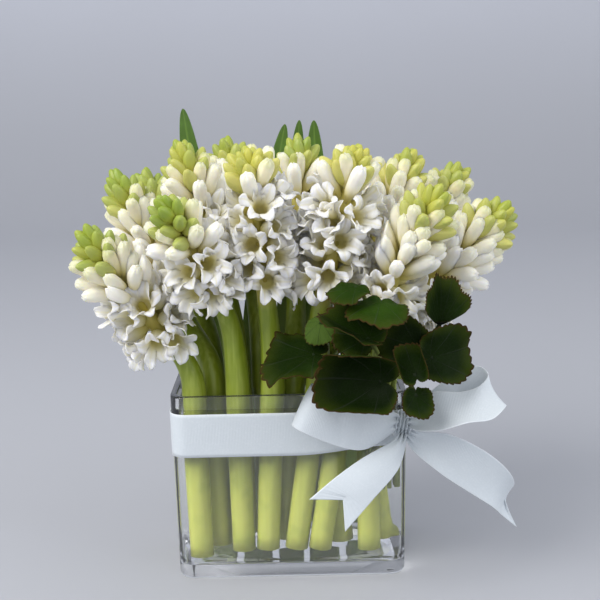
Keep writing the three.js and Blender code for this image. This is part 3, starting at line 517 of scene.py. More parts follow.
def loop_faces(rows, columns):
    """The faces of a thin sheet whose last row meets its first: two layers and the walls of its edges."""
    count = rows * columns
    last = count - columns
    upper = grid_faces(rows, columns)
    upper += [[last + c, last + c + 1, c + 1, c] for c in range(columns - 1)]
    walls = []
    for column, flip in ((0, False), (columns - 1, True)):
        for r in range(rows):
            a, b = r * columns + column, (r + 1) % rows * columns + column
            face = [a, b, b + count, a + count]
            walls.append(face[::-1] if flip else face)
    return upper + turned_over(upper, count) + walls


class Form:
    """The points, faces and marks of one piece. Marks are numbers on points that its finish reads."""

    def __init__(self, *marks):
        self.points = []
        self.faces = []
        self.finishes = []
        self.marks = {name: [] for name in marks}
        self.count = 0

    def add(self, points, faces, finish=0, **marks):
        points = np.asarray(points, float).reshape(-1, 3)
        self.points.append(points)
        self.faces += [[i + self.count for i in face] for face in faces]
        self.finishes += [finish] * len(faces)
        for name, values in self.marks.items():
            given = np.asarray(marks.get(name, 0.0), float)
            values.append(np.broadcast_to(given.reshape(-1) if given.ndim else given, len(points)))
        self.count += len(points)

    def piece(self, name, finishes, slot, replaces):
        """Makes the mesh in metres, and hides the CAD nodes that it stands for."""
        mesh = bpy.data.meshes.new(name)
        mesh.from_pydata((np.vstack(self.points) * MM).tolist(), [], self.faces)
        for mark, values in self.marks.items():
            layer = mesh.attributes.new(mark, "FLOAT", "POINT")
            layer.data.foreach_set("value", np.concatenate(values).astype(np.float32))
        for finish in finishes:
            mesh.materials.append(finish)
        mesh.polygons.foreach_set("material_index", self.finishes)
        mesh.polygons.foreach_set("use_smooth", [True] * len(mesh.polygons))
        mesh.update()
        made = bpy.data.objects.new(name, mesh)
        bpy.context.scene.collection.objects.link(made)
        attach(made, "root")
        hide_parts(*replaces)
        return made


# Shader expressions

class Value:
    """A socket of a finish's nodes that can be used in sums."""

    def __init__(self, finish, socket):
        self.finish = finish
        self.socket = socket

    def _maths(self, operation, *values):
        return self.finish.node("ShaderNodeMath", {"operation": operation}, *values)

    def __add__(self, other):
        return self._maths("ADD", self, other)

    def __radd__(self, other):
        return self._maths("ADD", other, self)

    def __sub__(self, other):
        return self._maths("SUBTRACT", self, other)

    def __rsub__(self, other):
        return self._maths("SUBTRACT", other, self)

    def __mul__(self, other):
        return self._maths("MULTIPLY", self, other)

    def __rmul__(self, other):
        return self._maths("MULTIPLY", other, self)

    def sine(self):
        return self._maths("SINE", self)

    def size(self):
        """The value without its sign."""
        return self._maths("ABSOLUTE", self)

    def step(self, low, high):
        """0 below low and 1 above high, with a soft step between."""
        return self.finish.node("ShaderNodeMapRange", {"interpolation_type": "SMOOTHSTEP"},
                                self, low, high, 0.0, 1.0)


class Finish:
    """A material that is written as expressions."""

    def __init__(self, name, **constants):
        self.material = bpy.data.materials.new(name)
        self.material.use_nodes = True
        self.tree = self.material.node_tree
        self.shader = self.tree.nodes["Principled BSDF"]
        for socket, value in constants.items():
            self.shader.inputs[socket.replace("_", " ")].default_value = value

    def node(self, kind, settings, *values, output=0, **named):
        """Adds a node: its settings first, then the numbers, colours or links of its sockets."""
        node = self.tree.nodes.new(kind)
        for name, setting in settings.items():
            setattr(node, name, setting)
        sockets = {socket.identifier: socket for socket in node.inputs}
        given = [(node.inputs[i], value) for i, value in enumerate(values)]
        given += [(sockets[name], value) for name, value in named.items()]
        for socket, value in given:
            if isinstance(value, Value):
                self.tree.links.new(value.socket, socket)
            elif socket.type == "RGBA":
                socket.default_value = (*value, 1)
            else:
                socket.default_value = value
        return Value(self, node.outputs[output])

    def mark(self, name):
        return self.node("ShaderNodeAttribute", {"attribute_name": name}, output="Fac")

    def place(self):
        return self.node("ShaderNodeTexCoord", {}, output="Object")

    def height(self):
        return self.node("ShaderNodeSeparateXYZ", {}, self.place(), output="Z")

    def stretched(self, across, along):
        """The place in the piece, scaled apart for streaks that run up and down."""
        scale = (across, across, along)
        return self.node("ShaderNodeVectorMath", {"operation": "MULTIPLY"}, self.place(), scale)

    def noise(self, scale, detail, vector=None):
        return self.node("ShaderNodeTexNoise", {}, Vector=vector or self.place(), Scale=scale, Detail=detail)

    def blend(self, share, first, second):
        """Two colours mixed; the share goes from the first to the second."""
        return self.node("ShaderNodeMix", {"data_type": "RGBA"}, output=2,
                         Factor_Float=share, A_Color=first, B_Color=second)

    def feed(self, socket, value):
        self.tree.links.new(value.socket, self.shader.inputs[socket])

    def bump(self, height, distance, strength):
        normal = self.node("ShaderNodeBump", {}, Strength=strength, Distance=distance, Height=height)
        self.feed("Normal", normal)

    def clear_in_shadow(self):
        """Lets light through to what stands inside: shadow rays pass the glass."""
        shadow = self.node("ShaderNodeLightPath", {}, output="Is Shadow Ray")
        clear = self.node("ShaderNodeBsdfTransparent", {})
        solid = Value(self, self.shader.outputs[0])
        mixed = self.node("ShaderNodeMixShader", {}, shadow, solid, clear)
        self.tree.links.new(mixed.socket, self.tree.nodes["Material Output"].inputs[0])


# Sizes and colours that a user would change

def colour_property(name, description, default):
    return FloatVectorProperty(name=name, description=description, subtype="COLOR", size=3, min=0, max=1,
                               default=default)


def length_property(name, description, default):
    return FloatProperty(name=name, description=description, unit="LENGTH", min=0, precision=5,
                         default=default)


class FlowerLook(bpy.types.PropertyGroup):
    petal: colour_property("Petal", "Open petals", (0.88, 0.86, 0.8))
    cream: colour_property("Cream", "Closed white buds and the petals' lower ends", (0.8, 0.71, 0.33))
    shade: colour_property("Inner shade", "Yellow light deep inside a head", (0.5, 0.44, 0.1))
    bud_tip: colour_property("Bud tip", "Green tips of unopened buds", (0.22, 0.32, 0.018))
    bud_base: colour_property("Bud base", "Lower ends of unopened buds", (0.46, 0.46, 0.055))
    bud_pale: colour_property("Pale bud", "Tips of the unopened buds of paler heads", (0.5, 0.48, 0.07))
    stem_top: colour_property("Stem above the rim", "Stems above the vase", (0.21, 0.28, 0.006))
    stem_foot: colour_property("Stem in the water", "Pale feet of the stems", (0.47, 0.5, 0.1))
    fullness: FloatProperty(name="Fullness", description="How many florets and buds a head has",
                            min=0.5, max=1.5, default=1.0)


class LeafLook(bpy.types.PropertyGroup):
    strap: colour_property("Strap leaf", "Upper parts of the strap leaves", (0.065, 0.14, 0.008))
    # Each round leaf's green is mixed from these two by its bright value. This is partly the leaf's own green
    # and partly painted shade and light: the front cup is darkest, and most leaves that face up are brighter.
    dark: colour_property("Round leaf, dark", "Old round leaves", (0.004, 0.01, 0.001))
    bright: colour_property("Round leaf, bright", "Young round leaves", (0.014, 0.036, 0.0015))
    under: colour_property("Round leaf, underside", "Lower face of the round leaves", (0.07, 0.12, 0.02))
    # Painted light and shade: the blade takes this lighter olive towards its edge and stays darker in its
    # middle, where a cupped leaf lies in shade.
    rim: colour_property("Round leaf, outer part", "Towards the edge of a round leaf", (0.03, 0.045, 0.004))
    edge: colour_property("Bronze edge", "Edges of the round leaves", (0.05, 0.018, 0.008))
    teeth: IntProperty(name="Teeth", description="Teeth round a leaf", min=8, max=60, default=34)


class RibbonLook(bpy.types.PropertyGroup):
    colour: colour_property("Ribbon", "Colour of the ribbon", (0.6, 0.65, 0.69))
    rib_pitch: length_property("Rib pitch", "Distance between the ribbon's cross ribs", 0.00085)
    thickness: length_property("Thickness", "Thickness of the ribbon", 0.0004)


class VaseLook(bpy.types.PropertyGroup):
    tint: colour_property("Glass tint", "Colour of the glass", (0.997, 1.0, 0.998))
    water_tint: colour_property("Water tint", "Colour of the water", (0.999, 1.0, 0.997))


class StageLook(bpy.types.PropertyGroup):
    floor: colour_property("Floor", "Colour of the floor", (0.4, 0.41, 0.44))
    backdrop: colour_property("Backdrop", "Colour of the backdrop behind", (0.69, 0.715, 0.8))
    sky: colour_property("Surrounding light", "Colour of the light from all round", (0.93, 0.95, 1.0))
    sky_strength: FloatProperty(name="Surrounding strength", min=0, default=0.85,
                                description="Strength of the light from all round")
    key_power: FloatProperty(name="Window light", description="Power of the large soft light", unit="POWER",
                             min=0, default=20)
    fill_power: FloatProperty(name="Fill light", description="Power of the light from the other side",
                              unit="POWER", min=0, default=6)


# Vase and water

def rounded_rectangle(half_x, half_y, radius, z):
    angles = (np.arange(4)[:, None] + np.linspace(0, 1, CORNER_POINTS)) * math.pi / 2
    sign_x = np.array([1, -1, -1, 1])[:, None]
    sign_y = np.array([1, 1, -1, -1])[:, None]
    x = sign_x * (half_x - radius) + radius * np.cos(angles)
    y = sign_y * (half_y - radius) + radius * np.sin(angles)
    return np.stack([x, y, np.full_like(x, z)], -1).reshape(-1, 3)


def vase_outline(inset, z):
    lean = VASE_TAPER * (z / VASE_HEIGHT - 1)
    return rounded_rectangle(VASE_WIDTH / 2 + lean - inset, VASE_DEPTH / 2 + lean - inset,
                             max(CORNER_RADIUS - inset, LEAST_CORNER), z)


def floor_height(x, y):
    """The inner floor is highest in the middle and runs down to the walls."""
    near_x = np.maximum(0, 1 - (x / (VASE_WIDTH / 2 - WALL)) ** 2)
    near_y = np.maximum(0, 1 - (y / (VASE_DEPTH / 2 - WALL)) ** 2)
    return FLOOR_EDGE + FLOOR_RISE * near_x * np.sqrt(near_y)


def floor_rings(inset, lift):
    rings = []
    for scale in FLOOR_RINGS:
        ring = vase_outline(inset, FLOOR_EDGE) * (scale, scale, 1)
        ring[:, 2] = floor_height(ring[:, 0], ring[:, 1]) + lift
        rings.append(ring)
    return rings


def arc_rings(inset_from, inset_to, z_from, z_to, turn_first):
    """Rings round a quarter bend of the vase's profile."""
    rings = []
    for s in np.linspace(0, math.pi / 2, BEND_RINGS):
        a, b = (math.sin(s), 1 - math.cos(s)) if turn_first else (1 - math.cos(s), math.sin(s))
        rings.append(vase_outline(mix(inset_from, inset_to, a), mix(z_from, z_to, b)))
    return rings


def closed_form(rings):
    form = Form()
    form.add(np.vstack(rings), tube_faces(len(rings), len(rings[0])))
    return form


def vase_form():
    """One skin: up the outside, over the rim, down the inside and across the domed floor."""
    rings = [vase_outline(FOOT_ROUND, 0)]
    rings += arc_rings(FOOT_ROUND_FROM * FOOT_ROUND, 0, 0, FOOT_ROUND, True)
    rings += [vase_outline(0, z) for z in WALL_RINGS]
    rings += arc_rings(0, RIM_ROUND, VASE_HEIGHT - RIM_ROUND, VASE_HEIGHT, False)
    rings += arc_rings(WALL - RIM_ROUND, WALL, VASE_HEIGHT, VASE_HEIGHT - RIM_ROUND, True)
    rings += [vase_outline(WALL, z) for z in reversed(WALL_RINGS)]
    rings += [vase_outline(WALL + step, FLOOR_EDGE + rise) for step, rise in INNER_FILLET]
    return closed_form(rings + floor_rings(WALL, 0))


def water_form():
    inset = WALL - WATER_INTO_GLASS
    rings = floor_rings(inset, -WATER_INTO_GLASS)[::-1]
    rings += [vase_outline(inset, FLOOR_EDGE + rise) for rise in WATER_FOOT]
    rings += [vase_outline(inset, z) for z in WALL_RINGS]
    rings += [vase_outline(WALL + step, WATER_LEVEL + rise) for step, rise in WATER_RIM]
    rings += [rings[-1] * (scale, scale, 1) for scale in WATER_TOP_RINGS]
    return closed_form(rings)


class HYACINTH_OT_vase(bpy.types.Operator):
    """Make the glass vase with its thick domed foot"""
    bl_idname = "hyacinth.vase"
    bl_label = "Vase"

    def execute(self, context):
        tint = context.scene.vase_look.tint
        # Painted light: the glass glows faintly pale blue, which brightens the glass and what is seen through
        # it.
        glass = Finish("clear glass", Base_Color=(*tint, 1), Roughness=0.0, IOR=1.5, Transmission_Weight=1.0,
                       Emission_Color=(0.85, 0.92, 1.0, 1), Emission_Strength=0.006)
        glass.clear_in_shadow()
        vase_form().piece("glass_vase", [glass.material], "glass", ["vase"])
        return {"FINISHED"}


class HYACINTH_OT_water(bpy.types.Operator):
    """Fill the vase with clear water"""
    bl_idname = "hyacinth.water"
    bl_label = "Water"

    def execute(self, context):
        tint = context.scene.vase_look.water_tint
        water = Finish("clear water", Base_Color=(*tint, 1), Roughness=0.0, IOR=1.33, Transmission_Weight=1.0)
        water.clear_in_shadow()
        water_form().piece("vase_water", [water.material], "water", ["water"])
        return {"FINISHED"}


# Hyacinths

def stem_line(plant):
    """The line of a stem and its head: straight up to the rim, bent above it, and straight along the head."""
    rim = np.array([*plant["rim"], VASE_HEIGHT], float)
    base = np.array(plant["base"], float)
    tip = np.array(plant["tip"], float)
    x, y = plant["foot"]
    around = (-STEM_RADIUS, 0, STEM_RADIUS)
    floor = max(floor_height(x + dx, y + dy) for dx in around for dy in around)
    foot = np.array([x, y, floor + STEM_OFF_FLOOR])
    rise = unit(rim - foot)
    head_way = unit(tip - base)
    span = np.linalg.norm(rim - base) * BEND_SHARE
    bend = [rim, rim + rise * span, base - head_way * span, base]
    return {"foot": foot, "rim": rim, "base": base, "tip": tip, "rise": rise, "head_way": head_way,
            "bend": bend, "length": np.linalg.norm(tip - base)}


def stem_points(line):
    """The rings of a stem and its head's axis, with low ribs along it."""
    low = np.linspace(0, 1, STEM_RINGS)
    s = np.linspace(0, 1, STEM_RINGS + 1)[1:]
    t = np.linspace(0, AXIS_END, HEAD_RINGS + 1)[1:]
    bent, bent_ways = bezier(line["bend"], s)
    centres = np.vstack([mix(line["foot"], line["rim"], low[:, None]), bent,
                         mix(line["base"], line["tip"], t[:, None])])
    ways = np.vstack([np.tile(line["rise"], (STEM_RINGS, 1)), bent_ways,
                      np.tile(line["head_way"], (HEAD_RINGS, 1))])
    radius = np.concatenate([mix(STEM_RADIUS * STEM_FOOT_SHARE, STEM_RADIUS, low),
                             mix(STEM_RADIUS, NECK_RADIUS, s), mix(NECK_RADIUS, AXIS_TIP_RADIUS, t)])
    angles = angles_round(STEM_SIDES)
    ribs = sum((depth * np.cos(count * angles + turn) for depth, count, turn in STEM_RIBS), 1)
    return rings_about(centres, ways, radius[:, None] * ribs[None])


def raceme_layout(plant, line, index, fullness):
    """Places of everything that grows from a head's axis, from the bottom up."""
    draw = seeded_draw(LAYOUT_SEED, index)
    items = []

    def add(kind, count, start, end):
        shape = ITEM_SHAPES[kind]
        for i in range(count):
            s = (i + 0.5) / count
            chance = next(draw) - 0.5
            items.append({
                "kind": kind, "s": s, "t": mix(start, end, s),
                "turn": len(items) * GOLDEN_ANGLE + index * HEAD_TURN + SPIRAL_LOOSE * (next(draw) - 0.5),
                "lift": mix(*shape["lift"], s ** LIFT_LATE[kind]) + shape["loose"] * (next(draw) - 0.5),
                "reach": mix(*shape["reach"], s) + shape["vary"] * chance,
                "size": mix(*shape["size"], s)})

    per_mm = line["length"] * fullness
    open_end = plant["open"]
    white_end = plant["white"] + WHITE_LASTS
    white_share = plant["white"] - open_end
    add("open", round(per_mm * open_end * OPEN_PER_MM), HEAD_START, open_end)
    add("white", round(per_mm * white_share * WHITE_PER_MM), open_end + WHITE_AFTER_OPEN, white_end)
    add("green", round(GREEN_BUDS * fullness), white_end + GREEN_AFTER_WHITE, AXIS_END - GREEN_BEFORE_TIP)
    return items


def closest_points(a, b):
    """The closest points of two straight lines between their ends."""
    def onto(line, point):
        way = line[1] - line[0]
        return line[0] + way * np.clip(way @ (point - line[0]) / (way @ way), 0, 1)
    on_a = (a[0] + a[1]) / 2
    for _ in range(CLOSEST_ROUNDS):
        on_b = onto(b, on_a)
        on_a = onto(a, on_b)
    return on_a, on_b


def room_for(index, lines, straps):
    """The flat sides of the room that a head may fill, clear of the other heads, stems and leaves."""
    own = (lines[index]["base"], lines[index]["tip"])
    planes = []

    def keep_from(start, end, kept_by):
        near, far = closest_points(own, (start, end))
        distance = np.linalg.norm(far - near)
        normal = (far - near) / distance
        planes.append((normal, normal @ near + kept_by(distance, normal)))

    def keep_from_curve(curve, steps, kept_by):
        places, _ = bezier(curve, steps)
        for start, end in zip(places, places[1:]):
            keep_from(start, end, kept_by)

    for other, line in enumerate(lines):
        if other != index:
            keep_from(line["base"], line["tip"], lambda distance, _: distance / 2 - HEAD_CLEAR)
            keep_from_curve(line["bend"], STEM_STEPS, lambda distance, _: distance - STEM_RADIUS - STEM_CLEAR)
    for strap in straps:
        keep_from_curve(strap["curve"], STRAP_STEPS, lambda distance, normal, width=strap["width"]: (
            distance - abs(normal[0]) * width / 2 - STRAP_THICKNESS - STRAP_CLEAR))
    wall = unit(np.array(LEAF_WALL["faces"], float))
    wall_reach = wall @ np.array(LEAF_WALL["through"], float)
    if max(wall @ own[0], wall @ own[1]) < wall_reach:
        planes.append((wall, wall_reach))
    return planes


def nearest_on_axis(points, line):
    """The nearest place to each point on its head's axis."""
    way = line["tip"] - line["base"]
    share = np.clip((points - line["base"]) @ way / (way @ way), 0, 1)
    return line["base"] + share[:, None] * way


def press_into(room, line, points):
    """Moves points towards the head's axis so that they stay in its room; neighbours mingle a little."""
    near = nearest_on_axis(points, line)
    away = points - near
    distance = np.maximum(np.linalg.norm(away, axis=1), LEAST_LENGTH)
    away = away / distance[:, None]
    limit = np.full(len(points), NO_LIMIT)
    for normal, reach in room:
        slope = away @ normal
        faces_it = slope > LEAST_SLOPE
        gap = (reach + MINGLE - near @ normal) / np.where(faces_it, slope, 1)
        limit = np.where(faces_it, np.minimum(limit, gap), limit)
    free = FREE_SHARE * limit
    over = np.maximum(distance - free, 0)
    pressed = free + (limit - free) * (1 - np.exp(-over / np.maximum(limit - free, LEAST_LENGTH)))
    return near + away * np.where(distance <= free, distance, pressed)[:, None], limit


def item_frame(item, line):
    """Where a floret or bud grows from the axis, and its directions: out, across and up its face."""
    side = unit(np.cross((0, 0, 1), line["head_way"]))
    other = unit(np.cross(line["head_way"], side))
    radial = side * math.cos(item["turn"]) + other * math.sin(item["turn"])
    out = unit(radial * math.cos(item["lift"]) + line["head_way"] * math.sin(item["lift"]))
    across = unit(np.cross(line["head_way"], radial))
    face = unit(np.cross(out, across))
    root = mix(line["base"], line["tip"], item["t"])
    return root, np.stack([out, across, face])


def floret_faces():
    """The faces of an open floret: a tube and six petals, all with an outer and an inner side."""
    tube = TUBE_ROWS * TUBE_COLUMNS
    across = PETAL_CELLS + 1
    each = PETAL_ROWS * across
    layer = tube + PETALS * each
    outer = grid_faces(TUBE_ROWS, TUBE_COLUMNS, True)
    walls = []
    for petal in range(PETALS):
        throat = [tube - TUBE_COLUMNS + (petal * PETAL_CELLS + c) % TUBE_COLUMNS for c in range(across)]
        start = tube + petal * each
        rows = [throat] + [[start + r * across + c for c in range(across)] for r in range(PETAL_ROWS)]
        for low, high in zip(rows, rows[1:]):
            outer += [[low[c], low[c + 1], high[c + 1], high[c]] for c in range(PETAL_CELLS)]
            walls += [[low[0], high[0], high[0] + layer, low[0] + layer],
                      [high[-1], low[-1], low[-1] + layer, high[-1] + layer]]
        end = rows[-1]
        walls += [[end[c], end[c + 1], end[c + 1] + layer, end[c] + layer] for c in range(PETAL_CELLS)]
    foot = [list(reversed(range(TUBE_COLUMNS))), [layer + c for c in range(TUBE_COLUMNS)]]
    return outer + turned_over(outer, layer) + walls + foot


FLORET_FACES = floret_faces()
BUD_FACES = tube_faces(len(BUD_AT), BUD_COLUMNS)


def petal_points(k, petal, s, v, throat, inset):
    """One petal: its middle line bends back and rolls, and across it is hollow, keeled and ruffled."""
    throat_r = TUBE_R[-1]
    grown = smooth(s / PETAL_GROWN)
    narrowed = np.maximum(s - PETAL_NARROWS, 0) / PETAL_NARROWING
    taper = np.sqrt(np.clip(1 - narrowed ** 2, 0.0, 1))
    half = mix(throat_r * math.tan(PETAL_ANGLE / 2), PETAL_HALF, grown) * taper + PETAL_END_HALF
    arc = v[None] * PETAL_ANGLE / 2
    aside = mix(throat_r * np.sin(arc), v[None] * half[:, None], grown[:, None])
    roll = petal["roll"] * smooth((s - ROLL_FROM) / (1 - ROLL_FROM))
    bend = PETAL_FIRST_BEND + petal["bend"] * s ** PETAL_BEND_LATE + roll
    step = petal["length"] / PETAL_ROWS
    centre_r = throat_r + np.cumsum(np.sin(bend)) * step
    centre_z = throat + np.cumsum(np.cos(bend)) * step
    keel = PETAL_KEEL * (1 - np.abs(v[None])) ** 2 * (1 - s[:, None])
    hollow = -(petal["curl"] * v[None] ** 2 - keel)
    ruffle = petal["ruffle"] * v[None] * np.sin(RUFFLES * s[:, None] + petal["phase"]) * s[:, None]
    height = (hollow + ruffle) * half[:, None]
    drop = mix(throat_r * (np.cos(arc) - 1), height, grown[:, None]) - inset
    radius = centre_r[:, None] + drop * np.cos(bend)[:, None]
    along = centre_z[:, None] - drop * np.sin(bend)[:, None]
    middle = k * PETAL_ANGLE + petal["lean"] * s[:, None]
    return np.stack([along, radius * np.cos(middle) - aside * np.sin(middle),
                     radius * np.sin(middle) + aside * np.cos(middle)], -1).reshape(-1, 3)


def floret_points(reach, petals, inset):
    """The points of an open floret along its own line, how far along each is, and how near a petal's edge."""
    throat = reach - THROAT_BACK
    z = mix(TUBE_FOOT, throat, TUBE_AT)
    turn = np.arange(TUBE_COLUMNS) / PETAL_CELLS
    angles = (turn - 0.5) * PETAL_ANGLE
    r = (TUBE_R - inset)[:, None]
    tube = np.stack([np.broadcast_to(z[:, None], (TUBE_ROWS, TUBE_COLUMNS)),
                     r * np.cos(angles), r * np.sin(angles)], -1)
    s = np.linspace(0, 1, PETAL_ROWS + 1)[1:]
    v = np.linspace(-1, 1, PETAL_CELLS + 1)
    lobes = [petal_points(k, petal, s, v, throat, inset) for k, petal in enumerate(petals)]
    points = np.vstack([tube.reshape(-1, 3), *lobes])
    along = np.concatenate([np.repeat(TUBE_AT * TUBE_MARK, TUBE_COLUMNS),
                            np.tile(np.repeat(mix(TUBE_MARK, 1, s), PETAL_CELLS + 1), PETALS)])
    edges = np.concatenate([np.tile(np.abs((turn % 1) * 2 - 1), TUBE_ROWS),
                            np.tile(np.abs(v), PETALS * PETAL_ROWS)])
    return points, along, edges


def draw_petals(item, draw):
    """Six petals, each bent back, rolled and ruffled a little differently; low florets are the most open."""
    opened = mix(*OPENED, item["s"]) * mix(*OPENED_VARIES, next(draw))
    petals = []
    for k in range(PETALS):
        petal = {"length": PETAL_LENGTH * PETAL_SIZES[k % 2] * mix(*LENGTH_VARIES, next(draw)),
                 "bend": mix(*PETAL_BEND, opened * mix(*BEND_VARIES, next(draw)))}
        for name, span in PETAL_VARIES.items():
            petal[name] = mix(*span, next(draw))
        petals.append(petal)
    return petals


def open_floret(item, draw):
    """An open floret along its own line: its points, faces and marks, and how much inner light it takes."""
    petals = draw_petals(item, draw)
    outer, along, edges = floret_points(item["reach"], petals, 0)
    inner, _, _ = floret_points(item["reach"], petals, PETAL_THICKNESS)
    marks = {"along": np.concatenate([along, along * INNER_ALONG]), "seam": np.tile(edges, 2), "young": 0.0}
    return np.vstack([outer, inner]), FLORET_FACES, marks, np.repeat(FLORET_CORE, len(outer))


def closed_bud(item, draw):
    """A closed bud, in the same terms: six grooved petals, whose tips part a little on the white ones."""
    bud = BUDS[item["kind"]]
    thickness = item["size"] * bud["slim"] * mix(*BUD_VARIES, next(draw))
    angles = angles_round(BUD_COLUMNS)
    seam = np.abs(np.cos(PETALS / 2 * angles)) ** SEAM_WIDTH
    groove = BUD_GROOVE * smooth((BUD_AT - GROOVE_FROM) / GROOVE_GROWS)[:, None] * (1 - seam[None])
    r = thickness * np.array(bud["radii"])[:, None] * (1 - groove)
    parted = mix(*bud["parted"], item["s"]) * smooth((BUD_AT - TIP_FROM) / (1 - TIP_FROM))[:, None]
    z = mix(BUD_FOOT, item["reach"], BUD_AT[:, None]) + parted * (seam[None] - 0.5)
    points = np.stack([np.broadcast_to(z, r.shape), r * np.cos(angles), r * np.sin(angles)], -1)
    if item["kind"] == "white":
        young = item["s"] ** YOUNG_LATE * mix(*WHITE_YOUNG, next(draw))
    else:
        young = mix(*GREEN_YOUNG, item["s"])
    marks = {"along": np.repeat(BUD_AT, BUD_COLUMNS), "seam": np.tile(seam, len(BUD_AT)), "young": young}
    return points.reshape(-1, 3), BUD_FACES, marks, bud["core"]


def add_item(form, item, line, room, draw, finish, pale):
    """Adds a floret or bud to a head, twisted and sagging a little, unless there is no room for it."""
    root, axes = item_frame(item, line)
    _, limit = press_into(room, line, root + item["reach"] * axes[:1])
    if limit[0] < LEAST_ROOM:
        return
    make = open_floret if item["kind"] == "open" else closed_bud
    local, faces, marks, core = make(item, draw)
    twist = next(draw) * 2 * math.pi
    cosine, sine = math.cos(twist), math.sin(twist)
    spin = np.array([[1, 0, 0], [0, cosine, sine], [0, -sine, cosine]])
    sag = np.zeros_like(local)
    sag[:, 2] = -SAG * (next(draw) - HELD_UP) * np.maximum(local[:, 0] - SAG_FROM, 0) ** 2
    world, _ = press_into(room, line, root + (local @ spin + sag) @ axes)
    distance = np.linalg.norm(world - nearest_on_axis(world, line), axis=1)
    marks["core"] = np.clip(CORE_START - distance / CORE_FADE, 0, 1) * core
    marks["pale"] = np.clip(pale + PALE_LOOSE * (next(draw) - 0.5), 0, 1)
    form.add(world, faces, finish, **marks)


def stem_finish(look):
    finish = Finish("hyacinth stem", Roughness=0.42, Coat_Weight=0.15, Coat_Roughness=0.3,
                    Subsurface_Weight=0.12, Subsurface_Radius=(0.004, 0.006, 0.001), Subsurface_Scale=0.6)
    pale_streak, dark_patch = (0.5, 0.56, 0.13), (0.1, 0.17, 0.01)
    streaks = finish.noise(1.0, 3.0, finish.stretched(420, 22))
    mottle = finish.noise(60.0, 2.0)
    body = finish.blend(finish.height().step(0.025, 0.14), look.stem_foot, look.stem_top)
    body = finish.blend(streaks.step(0.35, 0.75) * 0.35, body, pale_streak)
    body = finish.blend(mottle.step(0.45, 0.8) * 0.3, body, dark_patch)
    # Painted shade: the axis inside the head takes the yellow inner shade colour.
    finish.feed("Base Color", finish.blend(finish.mark("inside"), body, look.shade))
    finish.bump(streaks, 0.0006, 0.35)
    return finish.material


def green_bud_finish(look):
    finish = Finish("green bud", Roughness=0.46, Coat_Weight=0.1, Coat_Roughness=0.35,
                    Subsurface_Weight=0.2, Subsurface_Radius=(0.003, 0.004, 0.001), Subsurface_Scale=0.7)
    dark_fleck = (0.16, 0.3, 0.03)
    seam = finish.mark("seam")
    fleck = finish.noise(350.0, 3.0)
    tip = finish.blend(finish.mark("pale"), look.bud_tip, look.bud_pale)
    body = finish.blend(finish.mark("along").step(0.2, 0.8), look.bud_base, tip)
    body = finish.blend((1 - seam.step(0.2, 0.75)) * 0.45, body, look.bud_base)
    body = finish.blend((1 - finish.mark("young")) * 0.75, body, look.cream)
    body = finish.blend(fleck.step(0.55, 0.75) * 0.25, body, dark_fleck)
    finish.feed("Base Color", finish.blend(finish.mark("core").step(0.35, 0.9) * 0.7, body, look.shade))
    finish.bump(fleck * 0.5 + seam, 0.0003, 0.5)
    return finish.material


def petal_finish(look):
    """Petals are white at their ends and cream lower down; the buds' tips turn green as they get younger."""
    finish = Finish("white petal", Roughness=0.5, Sheen_Weight=0.08, Subsurface_Weight=0.6,
                    Subsurface_Radius=(0.004, 0.0036, 0.0022), Subsurface_Scale=0.9)
    cool_grey = (0.7, 0.71, 0.72)
    along = finish.mark("along")
    seam = finish.mark("seam")
    young = finish.mark("young")
    fine = finish.noise(500.0, 3.0)
    body = finish.blend(1 - along.step(0.1, 0.78), look.petal, look.cream)
    body = finish.blend((1 - along.step(0.25, 0.68)) * 0.35, body, look.shade)
    body = finish.blend(young * 0.75, body, look.cream)
    body = finish.blend(young * along.step(0.82, 1.0) * 0.55, body, look.bud_tip)
    body = finish.blend((1 - seam.step(0.0, 0.3)) * along * 0.55, body, look.cream)
    body = finish.blend(fine.step(0.5, 0.8) * 0.12, body, cool_grey)
    finish.feed("Base Color", finish.blend(finish.mark("core").step(0.4, 0.95) * 0.6, body, look.shade))
    finish.bump(fine, 0.0003, 0.4)
    return finish.material


def build_heads(look):
    lines = [stem_line(plant) for plant in HYACINTHS]
    straps = [strap_line(strap) for strap in STRAPS]
    stem, bud, petal = stem_finish(look), green_bud_finish(look), petal_finish(look)
    marks = ("along", "seam", "young", "core", "pale", "inside")
    for index, plant in enumerate(HYACINTHS):
        line = lines[index]
        room = room_for(index, lines, straps)
        draw = seeded_draw(ITEM_SEED, index)
        green, white = Form(*marks), Form(*marks)
        rings = stem_points(line)
        # The rings of the axis inside the head are marked for the painted yellow inner shade.
        first_inside = len(rings) - HEAD_RINGS - 1.5
        inside = np.clip(np.arange(len(rings)) - first_inside, 0, 1)
        green.add(rings, tube_faces(len(rings), STEM_SIDES), inside=np.repeat(inside, STEM_SIDES))
        for item in raceme_layout(plant, line, index, look.fullness):
            target, finish = (green, 1) if item["kind"] == "green" else (white, 0)
            add_item(target, item, line, room, draw, finish, plant["pale"])
        number = f"{index + 1:02d}"
        green.piece(f"stem_{number}", [stem, bud], "stem", [f"hyacinth_{number}_stem"])
        white.piece(f"florets_{number}", [petal], "floret", [f"hyacinth_{number}_florets"])


class HYACINTH_OT_heads(bpy.types.Operator):
    """Make the hyacinths: their stems, green buds, white buds and open florets"""
    bl_idname = "hyacinth.heads"
    bl_label = "Hyacinths"

    def execute(self, context):
        build_heads(context.scene.flower_look)
        return {"FINISHED"}


# Strap leaves

def strap_line(strap):
    x, y = strap["rim"]
    rim = (x, y, VASE_HEIGHT)
    foot = np.array([x, y, floor_height(x, y) + STRAP_OFF_FLOOR])
    curve = [rim, (x, y, VASE_HEIGHT + STRAP_RISE), strap["middle"], strap["tip"]]
    return {**strap, "foot": foot, "curve": curve}


